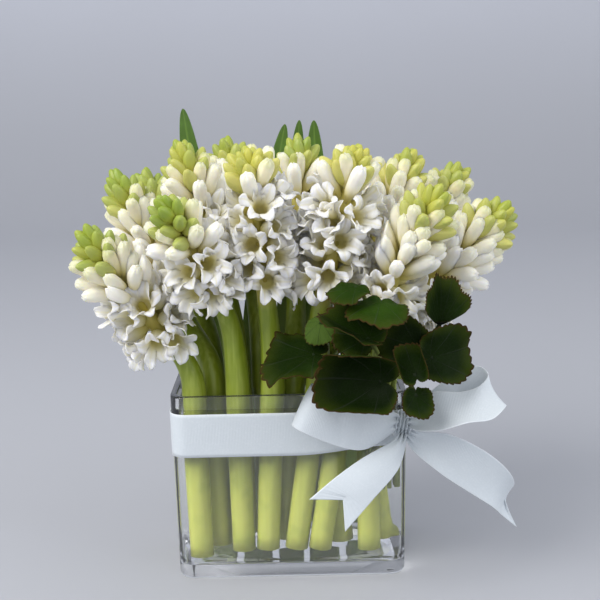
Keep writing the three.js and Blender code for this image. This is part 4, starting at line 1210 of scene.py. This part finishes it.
def strap_form(strap):
    """A thick blade, hollow along its face; it narrows upwards and ends in a blunt point."""
    line = strap_line(strap)
    s = np.sin(np.linspace(0, math.pi / 2, STRAP_ROWS))
    curve, curve_ways = bezier(line["curve"], s)
    low = np.linspace(0, 1, STRAP_LOW_ROWS + 1)[:-1, None]
    centres = np.vstack([mix(line["foot"], np.array(line["curve"][0], float), low), curve])
    ways = np.vstack([np.tile((0.0, 0.0, 1.0), (STRAP_LOW_ROWS, 1)), curve_ways])
    far = np.concatenate([np.zeros(STRAP_LOW_ROWS), s])
    end = np.maximum(0, (far - 1) / STRAP_TAPER + 1)
    narrow = np.sqrt(np.maximum(STRAP_END, 1 - end ** 2))
    v = np.linspace(-1, 1, STRAP_COLUMNS)
    across = unit(np.cross(ways, (0, 1, 0)))
    outward = unit(np.cross(across, ways))
    half = (strap["width"] / 2 * narrow * mix(1, STRAP_TOP_SHARE, far))[:, None]
    hollow = STRAP_HOLLOW * half * (1 - 2 * v ** 2)
    thick = STRAP_THICKNESS / 2 * (1 - STRAP_EDGE_THIN * v ** 2) * narrow[:, None]
    middle = centres[:, None] + (v * half)[..., None] * across[:, None]
    sides = [middle + (hollow + side * thick)[..., None] * outward[:, None] for side in (1, -1)]
    form = Form("across", "up")
    form.add(np.vstack(sides), sheet_faces(len(far), STRAP_COLUMNS),
             across=np.tile(v, 2 * len(far)), up=np.tile(np.repeat(far, STRAP_COLUMNS), 2))
    return form


def strap_finish(look):
    finish = Finish("strap leaf", Roughness=0.36, Coat_Weight=0.2, Coat_Roughness=0.25,
                    Subsurface_Weight=0.08, Subsurface_Radius=(0.003, 0.005, 0.001), Subsurface_Scale=0.5)
    foot, middle_vein = (0.3, 0.4, 0.1), (0.2, 0.33, 0.05)
    dark_vein, dark_patch = (0.03, 0.1, 0.008), (0.12, 0.27, 0.03)
    across = finish.mark("across")
    veins = (across * 58.0).sine() * 0.5 + 0.5
    patches = finish.noise(90.0, 2.0)
    body = finish.blend(finish.mark("up").step(0.1, 0.75), foot, look.strap)
    body = finish.blend((1 - across.size().step(0.0, 0.22)) * 0.45, body, middle_vein)
    body = finish.blend(veins * 0.22, body, dark_vein)
    finish.feed("Base Color", finish.blend(patches.step(0.5, 0.8) * 0.3, body, dark_patch))
    finish.bump(veins, 0.0002, 0.5)
    return finish.material


class HYACINTH_OT_strap_leaves(bpy.types.Operator):
    """Make the long strap leaves behind the flower heads"""
    bl_idname = "hyacinth.strap_leaves"
    bl_label = "Strap leaves"

    def execute(self, context):
        finish = strap_finish(context.scene.leaf_look)
        for index, strap in enumerate(STRAPS):
            name, node = f"strap_blade_{index + 1}", f"strap_leaf_{index + 1}"
            strap_form(strap).piece(name, [finish], "strap_leaf", [node])
        return {"FINISHED"}


# Round leaves

class LeafSheet:
    """The blade of a round leaf as a bent sheet: flat places u, v in millimetres become places in space."""

    def __init__(self, leaf):
        self.leaf = leaf
        self.face = unit(np.array(leaf["face"], float))
        far = np.array(leaf["far"], float)
        self.far = unit(far - (far @ self.face) * self.face)
        self.aside = np.cross(self.face, self.far)
        self.root = -ROOT_SHIFT * leaf["radius"]

    def bent(self, distance, bend):
        bend = bend / self.leaf["radius"]
        return np.sin(bend * distance) / bend, (1 - np.cos(bend * distance)) / bend

    def waves(self, shape, far, turn):
        """Waves that grow towards the edge; each leaf's are turned by its own radius."""
        angle = shape["count"] * turn + shape["turn"] * self.leaf["radius"]
        return shape["height"] * self.leaf["wave"] * far ** shape["outer"] * np.sin(angle)

    def place(self, u, v):
        leaf = self.leaf
        far = np.hypot(u, v) / leaf["radius"]
        v_bent, rise = self.bent(v, leaf["across"])
        u_bent, lift = self.bent(u, leaf["along"])
        turn = np.arctan2(v, u)
        fold = leaf["fold"] * (np.hypot(v, 1) - 1)
        height = rise + lift + self.waves(WAVES, far, turn) + self.waves(RIPPLES, far, turn) + fold
        v_bent = v_bent * (1 - FOLD_NARROWS * leaf["fold"])
        return (np.array(leaf["at"], float) + u_bent[..., None] * self.far + v_bent[..., None] * self.aside
                + height[..., None] * self.face)

    def normal(self, u, v):
        step = 0.2
        along_u = self.place(u + step, v) - self.place(u - step, v)
        along_v = self.place(u, v + step) - self.place(u, v - step)
        return unit(np.cross(along_u, along_v))

    def reach(self, angle):
        """The outline seen from the stalk: nearly a circle with a notch there, or a fan if it is folded."""
        radius = self.leaf["radius"]
        shift = ROOT_SHIFT * radius
        circle = shift * np.cos(angle) + np.sqrt(radius ** 2 - (shift * np.sin(angle)) ** 2)
        outline = mix(radius + shift, circle, self.leaf["spread"])
        from_notch = (math.pi - np.abs(angle)) / NOTCH_WIDTH
        uneven = 1 + UNEVEN["depth"] * np.sin(UNEVEN["count"] * angle + UNEVEN["turn"])
        return outline * uneven * (1 - NOTCH_DEPTH * np.exp(-(from_notch ** 2)))


def add_blade(form, sheet, teeth):
    """The blade: two layers of rings round the place where the stalk joins, and the toothed edge between."""
    angles = (np.arange(LEAF_SPOKES) / LEAF_SPOKES * 2 - 1) * math.pi
    phase = (angles / (2 * math.pi) * teeth) % 1
    tooth = np.where(phase < TOOTH_RISE, phase / TOOTH_RISE, (1 - phase) / (1 - TOOTH_RISE)) ** TOOTH_ROUND
    scale = np.linspace(0, 1, LEAF_RINGS + 1)[1:, None] ** LEAF_RING_SPREAD
    plain = sheet.reach(angles)
    toothed = plain * (TOOTH_FOOT + TOOTH_DEPTH * tooth)
    reach = scale * mix(plain, toothed, smooth((scale - TEETH_FROM) / (1 - TEETH_FROM)))
    turned = angles * sheet.leaf["spread"]
    u = sheet.root + reach * np.cos(turned)
    v = reach * np.sin(turned)
    middle = sheet.place(u, v)
    thick = LEAF_THICKNESS * (1 - LEAF_EDGE_THIN * scale[..., None] ** 4)
    lift = sheet.normal(u, v) * thick / 2
    count = LEAF_RINGS * LEAF_SPOKES
    rim = [count - LEAF_SPOKES + c for c in range(LEAF_SPOKES)]
    upper = grid_faces(LEAF_RINGS, LEAF_SPOKES, True)
    walls = [[a, b, count + b, count + a] for a, b in zip(rim, rim[1:] + rim[:1])]
    centre = [list(reversed(range(LEAF_SPOKES))), [count + c for c in range(LEAF_SPOKES)]]
    form.add(np.vstack([middle + lift, middle - lift]), upper + turned_over(upper, count) + walls + centre,
             angle=np.tile(angles, 2 * LEAF_RINGS), out=np.tile(np.repeat(scale, LEAF_SPOKES), 2),
             blade=1.0, upper=np.repeat([1.0, 0.0], count))


def add_stalk(form, sheet):
    """The stalk: out of the water, over the rim, and from behind the blade to where it joins."""
    x, y = sheet.leaf["stalk"]
    on_fold = np.array(0.0)
    join = sheet.place(np.array(sheet.root + STALK_JOIN), on_fold)
    behind = sheet.place(np.array(sheet.root - STALK_BACK), on_fold)
    behind = behind - STALK_BELOW * sheet.normal(np.array(sheet.root), on_fold)
    s = np.linspace(0, 1, STALK_ROWS)
    curve, curve_ways = bezier([(x, y, VASE_HEIGHT), (x, y, VASE_HEIGHT + STALK_RISE), behind, join], s)
    centres = np.vstack([[(x, y, STALK_FOOT)], curve])
    ways = np.vstack([[(0, 0, 1)], curve_ways])
    rings = rings_about(centres, ways, np.full((len(centres), STALK_SIDES), STALK_RADIUS))
    grown = np.concatenate([[0], smooth((s - BLADE_FROM) / BLADE_OVER)])
    form.add(rings, tube_faces(len(rings), STALK_SIDES), out=0.4, upper=1.0,
             blade=np.repeat(grown, STALK_SIDES))


def round_leaf_form(leaf, teeth):
    form = Form("angle", "out", "blade", "upper")
    sheet = LeafSheet(leaf)
    add_blade(form, sheet, teeth)
    add_stalk(form, sheet)
    return form


def mixed_colour(first, second, share):
    return tuple(mix(a, b, share) for a, b in zip(first, second))


def round_leaf_finish(look, name, bright):
    """Fan veins and a fine net on the upper face, a paler underside, a bronze toothed edge, and painted light
    and shade: the blade lighter towards its edge and darker in its middle.
    """
    finish = Finish(f"round leaf {name}", Roughness=0.6, Specular_IOR_Level=0.04, Coat_Weight=0.01,
                    Coat_Roughness=0.25)
    stalk_green = (0.3, 0.36, 0.1)
    # Partly painted shade and light: each leaf's green lies between dark and bright by its bright value.
    body = mixed_colour(look.dark, look.bright, bright)
    light_patch = tuple(c * 1.8 for c in body)
    vein = mixed_colour(body, (0.2, 0.2, 0.2), 0.1)
    under = mixed_colour(body, look.under, 0.45 + 0.3 * bright)
    out = finish.mark("out")
    fan = (finish.mark("angle") * 4.5).sine().size()
    ribs = (1 - fan.step(0.0, 0.16)) * (1 - out.step(0.85, 1.0) * 0.6)
    net = finish.node("ShaderNodeTexVoronoi", {"feature": "DISTANCE_TO_EDGE"},
                      Vector=finish.place(), Scale=420.0)
    mesh_lines = 1 - net.step(0.0, 0.12)
    patches = finish.noise(70.0, 3.0)
    colour = finish.blend(patches.step(0.4, 0.75) * 0.5, body, light_patch)
    # Painted light and shade: lighter olive towards the edge of the blade, darker towards its middle.
    colour = finish.blend(out.step(0.6, 1.0) * 0.75, colour, look.rim)
    colour = finish.blend(1 - finish.mark("upper"), colour, under)
    colour = finish.blend(ribs * 0.5, colour, vein)
    colour = finish.blend(mesh_lines * 0.12, colour, vein)
    colour = finish.blend(out.step(0.93, 1.0) * 0.75, colour, look.edge)
    finish.feed("Base Color", finish.blend(1 - finish.mark("blade"), colour, stalk_green))
    finish.bump(ribs * -1.0 + mesh_lines * -0.25 + patches * 0.3, 0.0004, 0.6)
    return finish.material


class HYACINTH_OT_round_leaves(bpy.types.Operator):
    """Make the round toothed leaves and their stalks at the front right corner"""
    bl_idname = "hyacinth.round_leaves"
    bl_label = "Round leaves"

    def execute(self, context):
        look = context.scene.leaf_look
        for leaf in ROUND_LEAVES:
            name = leaf["name"]
            finish = round_leaf_finish(look, name, leaf["bright"])
            form = round_leaf_form(leaf, look.teeth)
            form.piece(f"toothed_leaf_{name}", [finish], "round_leaf", [f"round_leaf_{name}"])
        return {"FINISHED"}


# Ribbon

def ribbon_finish(look):
    finish = Finish("ribbed ribbon", Roughness=0.48, Sheen_Weight=0.3, Sheen_Roughness=0.4)
    bright_thread, edge_thread = (0.9, 0.92, 0.96), (0.92, 0.94, 0.97)
    between_ribs = tuple(c * 0.72 for c in look.colour)
    rib = (finish.mark("along") * (2 * math.pi / (look.rib_pitch / MM))).sine() * 0.5 + 0.5
    weave = finish.noise(900.0, 2.0)
    selvedge = finish.mark("across").size().step(0.93, 0.97)
    body = finish.blend(rib * 0.09, look.colour, between_ribs)
    body = finish.blend(weave.step(0.45, 0.75) * 0.1, body, bright_thread)
    finish.feed("Base Color", finish.blend(selvedge * 0.25, body, edge_thread))
    finish.bump(rib * (1 - selvedge) + weave * 0.15, 0.0002, 0.35)
    return finish.material


def pleat_depth(chord):
    """How deep the ribbon's folds are where its width is gathered into a shorter line."""
    gathered = np.clip(RIBBON_WIDTH * PLEATED_WIDTH / chord, 1, MOST_GATHERED)
    return PLEAT_SHARE * chord * np.sqrt(gathered ** 2 - 1) / (WAVE_FACTOR * PLEATS)


def bulge_height(chord):
    """How far the ribbon bulges where its edges lie closer together than it is wide."""
    slack = np.clip(RIBBON_WIDTH / chord, 1, MOST_GATHERED)
    return BULGE_SHARE * chord / ARCH_FACTOR * np.sqrt(slack ** 2 - 1)


def ribbon_form(sides, faces, along, v):
    """The mesh of a thin piece of ribbon: its two sides, and marks along it and across it for its ribs."""
    form = Form("along", "across")
    form.add(np.vstack([side.reshape(-1, 3) for side in sides]), faces,
             along=np.tile(np.repeat(along, len(v)), 2), across=np.tile(v, 2 * len(along)))
    return form


def strip_form(strip, thickness):
    """A strip of ribbon between two edges, thin, with pleats where it is gathered into the knot."""
    s = np.linspace(0, 1, STRIP_ROWS)
    v = np.linspace(0, 1, STRIP_COLUMNS)
    a, b = smooth_curve(strip["edge_a"], s), smooth_curve(strip["edge_b"], s)
    centre = (a + b) / 2
    middle = mix(a[:, None], b[:, None], v[:, None])
    far = lengths_along(centre)
    if strip["notch"]:
        end = np.clip((s - NOTCH_FROM) / (1 - NOTCH_FROM), 0, 1)[:, None]
        back = strip["notch"] * end * (1 - np.abs(2 * v - 1))
        middle = middle - back[..., None] * unit(np.gradient(centre, axis=0))[:, None]
    else:
        far = np.minimum(far, far[-1] - far)
    along = unit(np.gradient(middle[:, STRIP_COLUMNS // 2], axis=0))
    normal = unit(np.cross(along, unit(b - a)))
    chord = np.linalg.norm(b - a, axis=1)[:, None]
    near = np.exp(-((far / PLEATS_REACH) ** 2))[:, None]
    edges_flat = np.minimum(1, EDGE_STEEPNESS * v * (1 - v))
    pleats = pleat_depth(chord) * np.sin(2 * math.pi * (PLEATS * v + PLEAT_START)) * edges_flat
    bulge = bulge_height(chord) * np.sin(math.pi * v)
    middle = middle + (near * pleats + (1 - near) * bulge)[..., None] * normal[:, None]
    facing = unit(np.cross(np.gradient(middle, axis=0), np.gradient(middle, axis=1)))
    length = lengths_along(middle[:, STRIP_COLUMNS // 2])
    sides = [middle + side * facing * thickness / 2 for side in (1, -1)]
    return ribbon_form(sides, sheet_faces(STRIP_ROWS, STRIP_COLUMNS), length, 2 * v - 1), length[-1]


def band_form(thickness):
    """The ribbon once round the vase; its lower edge gathers upwards beside the knot."""
    outline = rounded_rectangle(VASE_WIDTH / 2, VASE_DEPTH / 2, CORNER_RADIUS, 0)
    fine = []
    for point, after in zip(outline, np.roll(outline, -1, axis=0)):
        cuts = max(1, int(np.linalg.norm(after - point) // BAND_CELL))
        fine += [mix(point, after, c / cuts) for c in range(cuts)]
    fine = np.array(fine)
    length = lengths_along(fine)
    around = length[-1] + np.linalg.norm(fine[0] - fine[-1])
    v = np.linspace(0, 1, BAND_COLUMNS)
    tangent = unit(np.roll(fine, -1, axis=0) - np.roll(fine, 1, axis=0))
    outward = unit(np.cross(tangent, (0, 0, 1)))
    gather = BAND_GATHER * smooth((fine[:, 0] - GATHER_FROM) / GATHER_LENGTH)
    gather = np.where(fine[:, 1] < 0, gather, 0)
    z = mix(BAND_TOP - RIBBON_WIDTH + gather[:, None], BAND_TOP, v)
    lean = VASE_TAPER * (z / VASE_HEIGHT - 1)
    sides = []
    for side in (1, -1):
        stand = BAND_STAND + side * thickness / 2 + lean
        ring = fine[:, None] + stand[..., None] * outward[:, None]
        ring[..., 2] = z
        sides.append(ring)
    return ribbon_form(sides, loop_faces(len(fine), BAND_COLUMNS), length, 2 * v - 1), around


def knot_form(thickness):
    """The knot: the ribbon's end wrapped once round the middle of the bow, gathered in pleats."""
    x, y, z = KNOT["at"]
    half_x, half_y, half_z = KNOT["size"]
    deep = half_y - KNOT_INSET[0]
    high = half_z - KNOT_INSET[1]
    turn = angles_round(KNOT_ROWS)[:, None]
    v = np.linspace(-1, 1, KNOT_COLUMNS)
    pleat = KNOT_PLEAT * np.cos(KNOT_PLEATS * math.pi * v + KNOT_PLEAT_START)
    pleat = pleat * (1 + KNOT_PLEAT_VARIES * np.sin(2 * turn + 1))
    outer = KNOT_WAIST[0] + KNOT_WAIST[1] * v ** 2 + pleat
    across = x + half_x * KNOT_WIDTH_SHARE * v + KNOT["lean"] * np.sin(turn)
    sides = [np.stack([across, y + deep * scale * np.cos(turn), z + high * scale * np.sin(turn)], -1)
             for scale in (outer, outer - thickness / half_y)]
    around = KNOT_ROUND_SHARE * 2 * math.pi * math.sqrt((deep ** 2 + high ** 2) / 2)
    along = turn / (2 * math.pi) * around
    return ribbon_form(sides, loop_faces(KNOT_ROWS, KNOT_COLUMNS), along, v), around


class HYACINTH_OT_band(bpy.types.Operator):
    """Wrap the ribbon round the vase"""
    bl_idname = "hyacinth.band"
    bl_label = "Ribbon band"

    def execute(self, context):
        look = context.scene.ribbon_look
        form, around = band_form(look.thickness / MM)
        band = form.piece("ribbon_wrap", [ribbon_finish(look)], "ribbon", ["ribbon_band"])
        around * MM
        return {"FINISHED"}


class HYACINTH_OT_bow(bpy.types.Operator):
    """Tie the bow: its knot, two loops and two tails with notched ends"""
    bl_idname = "hyacinth.bow"
    bl_label = "Bow"

    def execute(self, context):
        look = context.scene.ribbon_look
        finish = ribbon_finish(look)
        form, around = knot_form(look.thickness / MM)
        knot = form.piece("bow_wrap", [finish], "ribbon", ["bow_knot"])
        around * MM
        for name, strip in BOW.items():
            form, length = strip_form(strip, look.thickness / MM)
            made = form.piece(name.replace("bow_", "ribbon_"), [finish], "ribbon", [name])
            length * MM
        return {"FINISHED"}


# Stage

class HYACINTH_OT_stage(bpy.types.Operator):
    """Set the floor, the soft lights and the camera"""
    bl_idname = "hyacinth.stage"
    bl_label = "Stage"

    def execute(self, context):
        look = context.scene.stage_look
        self.floor(context.scene, look)
        self.lights(context.scene, look)
        self.camera(context.scene)
        return {"FINISHED"}

    def floor(self, scene, look):
        """A floor that sweeps up into a backdrop far behind."""
        sweep, level = FLOOR["sweep"], FLOOR["level"]
        turn = np.linspace(0, math.pi / 2, FLOOR["steps"])[1:]
        start = FLOOR["back"] - sweep
        ys = [FLOOR["front"], start, *(start + sweep * np.sin(turn)), FLOOR["back"]]
        zs = [level, level, *(sweep - sweep * np.cos(turn)), FLOOR["top"]]
        points = [(x, y, z) for y, z in zip(ys, zs) for x in (-FLOOR["half_width"], FLOOR["half_width"])]
        mesh = bpy.data.meshes.new("floor")
        mesh.from_pydata(points, [], grid_faces(len(ys), 2))
        mesh.polygons.foreach_set("use_smooth", [True] * len(mesh.polygons))
        finish = Finish("pale floor", Roughness=0.75)
        grain_grey = (0.4, 0.4, 0.43)
        # Painted light: the sweep's colour goes from the darker floor to the paler backdrop as it rises, so
        # it is brighter higher up.
        pale = finish.blend(finish.height().step(0.0, 0.9), look.floor, look.backdrop)
        grain = finish.noise(4.0, 4.0).step(0.3, 0.7) * 0.05
        finish.feed("Base Color", finish.blend(grain, pale, grain_grey))
        mesh.materials.append(finish.material)
        floor = bpy.data.objects.new("floor", mesh)
        scene.collection.objects.link(floor)

    def lights(self, scene, look):
        world = bpy.data.worlds.new("soft room")
        scene.world = world
        world.use_nodes = True
        background = world.node_tree.nodes["Background"]
        background.inputs[0].default_value = (*look.sky, 1)
        background.inputs[1].default_value = look.sky_strength
        for name, light in LIGHTS.items():
            data = bpy.data.lights.new(name, "AREA")
            data.shape = "SQUARE"
            data.size = light["size"]
            data.energy = getattr(look, light["power"])
            data.color = light["colour"]
            lamp = bpy.data.objects.new(name, data)
            lamp.location = light["at"]
            lamp.rotation_mode = "QUATERNION"
            lamp.rotation_quaternion = (Vector(LIGHTS_AIM) - Vector(light["at"])).to_track_quat("-Z", "Y")
            scene.collection.objects.link(lamp)

    def camera(self, scene):
        down, lean = math.radians(CAMERA["down"]), math.radians(CAMERA["lean"])
        forward = Vector((0, math.cos(down), -math.sin(down)))
        up = Vector((0, math.sin(down), math.cos(down)))
        right = Vector((1, 0, 0))
        leaned_right = right * math.cos(lean) - up * math.sin(lean)
        leaned_up = right * math.sin(lean) + up * math.cos(lean)
        data = bpy.data.cameras.new("camera")
        data.lens = CAMERA["lens"]
        data.sensor_width = CAMERA["sensor"]
        camera = bpy.data.objects.new("camera", data)
        turned = Matrix((leaned_right, leaned_up, -forward)).transposed()
        camera.matrix_world = Matrix.Translation(Vector(CAMERA["at"]) * MM) @ turned.to_4x4()
        scene.collection.objects.link(camera)
        scene.camera = camera
        scene.view_settings.view_transform = "Standard"


LOOKS = {"flower_look": FlowerLook, "leaf_look": LeafLook, "ribbon_look": RibbonLook, "vase_look": VaseLook,
         "stage_look": StageLook}
OPERATORS = (HYACINTH_OT_vase, HYACINTH_OT_water, HYACINTH_OT_heads, HYACINTH_OT_strap_leaves,
             HYACINTH_OT_round_leaves, HYACINTH_OT_band, HYACINTH_OT_bow, HYACINTH_OT_stage)


class HYACINTH_PT_panel(bpy.types.Panel):
    bl_label = "Hyacinths in a vase"
    bl_idname = "HYACINTH_PT_panel"
    bl_space_type = "VIEW_3D"
    bl_region_type = "UI"
    bl_category = "Hyacinths"

    def draw(self, context):
        for name, look in LOOKS.items():
            box = self.layout.box()
            for prop in look.__annotations__:
                box.prop(getattr(context.scene, name), prop)
        for operator in OPERATORS:
            self.layout.operator(operator.bl_idname)


def register():
    for name, look in LOOKS.items():
        bpy.utils.register_class(look)
        setattr(bpy.types.Scene, name, PointerProperty(type=look))
    for kind in (*OPERATORS, HYACINTH_PT_panel):
        bpy.utils.register_class(kind)


def unregister():
    for kind in (HYACINTH_PT_panel, *reversed(OPERATORS)):
        bpy.utils.unregister_class(kind)
    for name, look in LOOKS.items():
        delattr(bpy.types.Scene, name)
        bpy.utils.unregister_class(look)


def main():
    register()
    for operator in OPERATORS:
        group, name = operator.bl_idname.split(".")
        getattr(getattr(bpy.ops, group), name)()


if __name__ == "__main__":
    main()
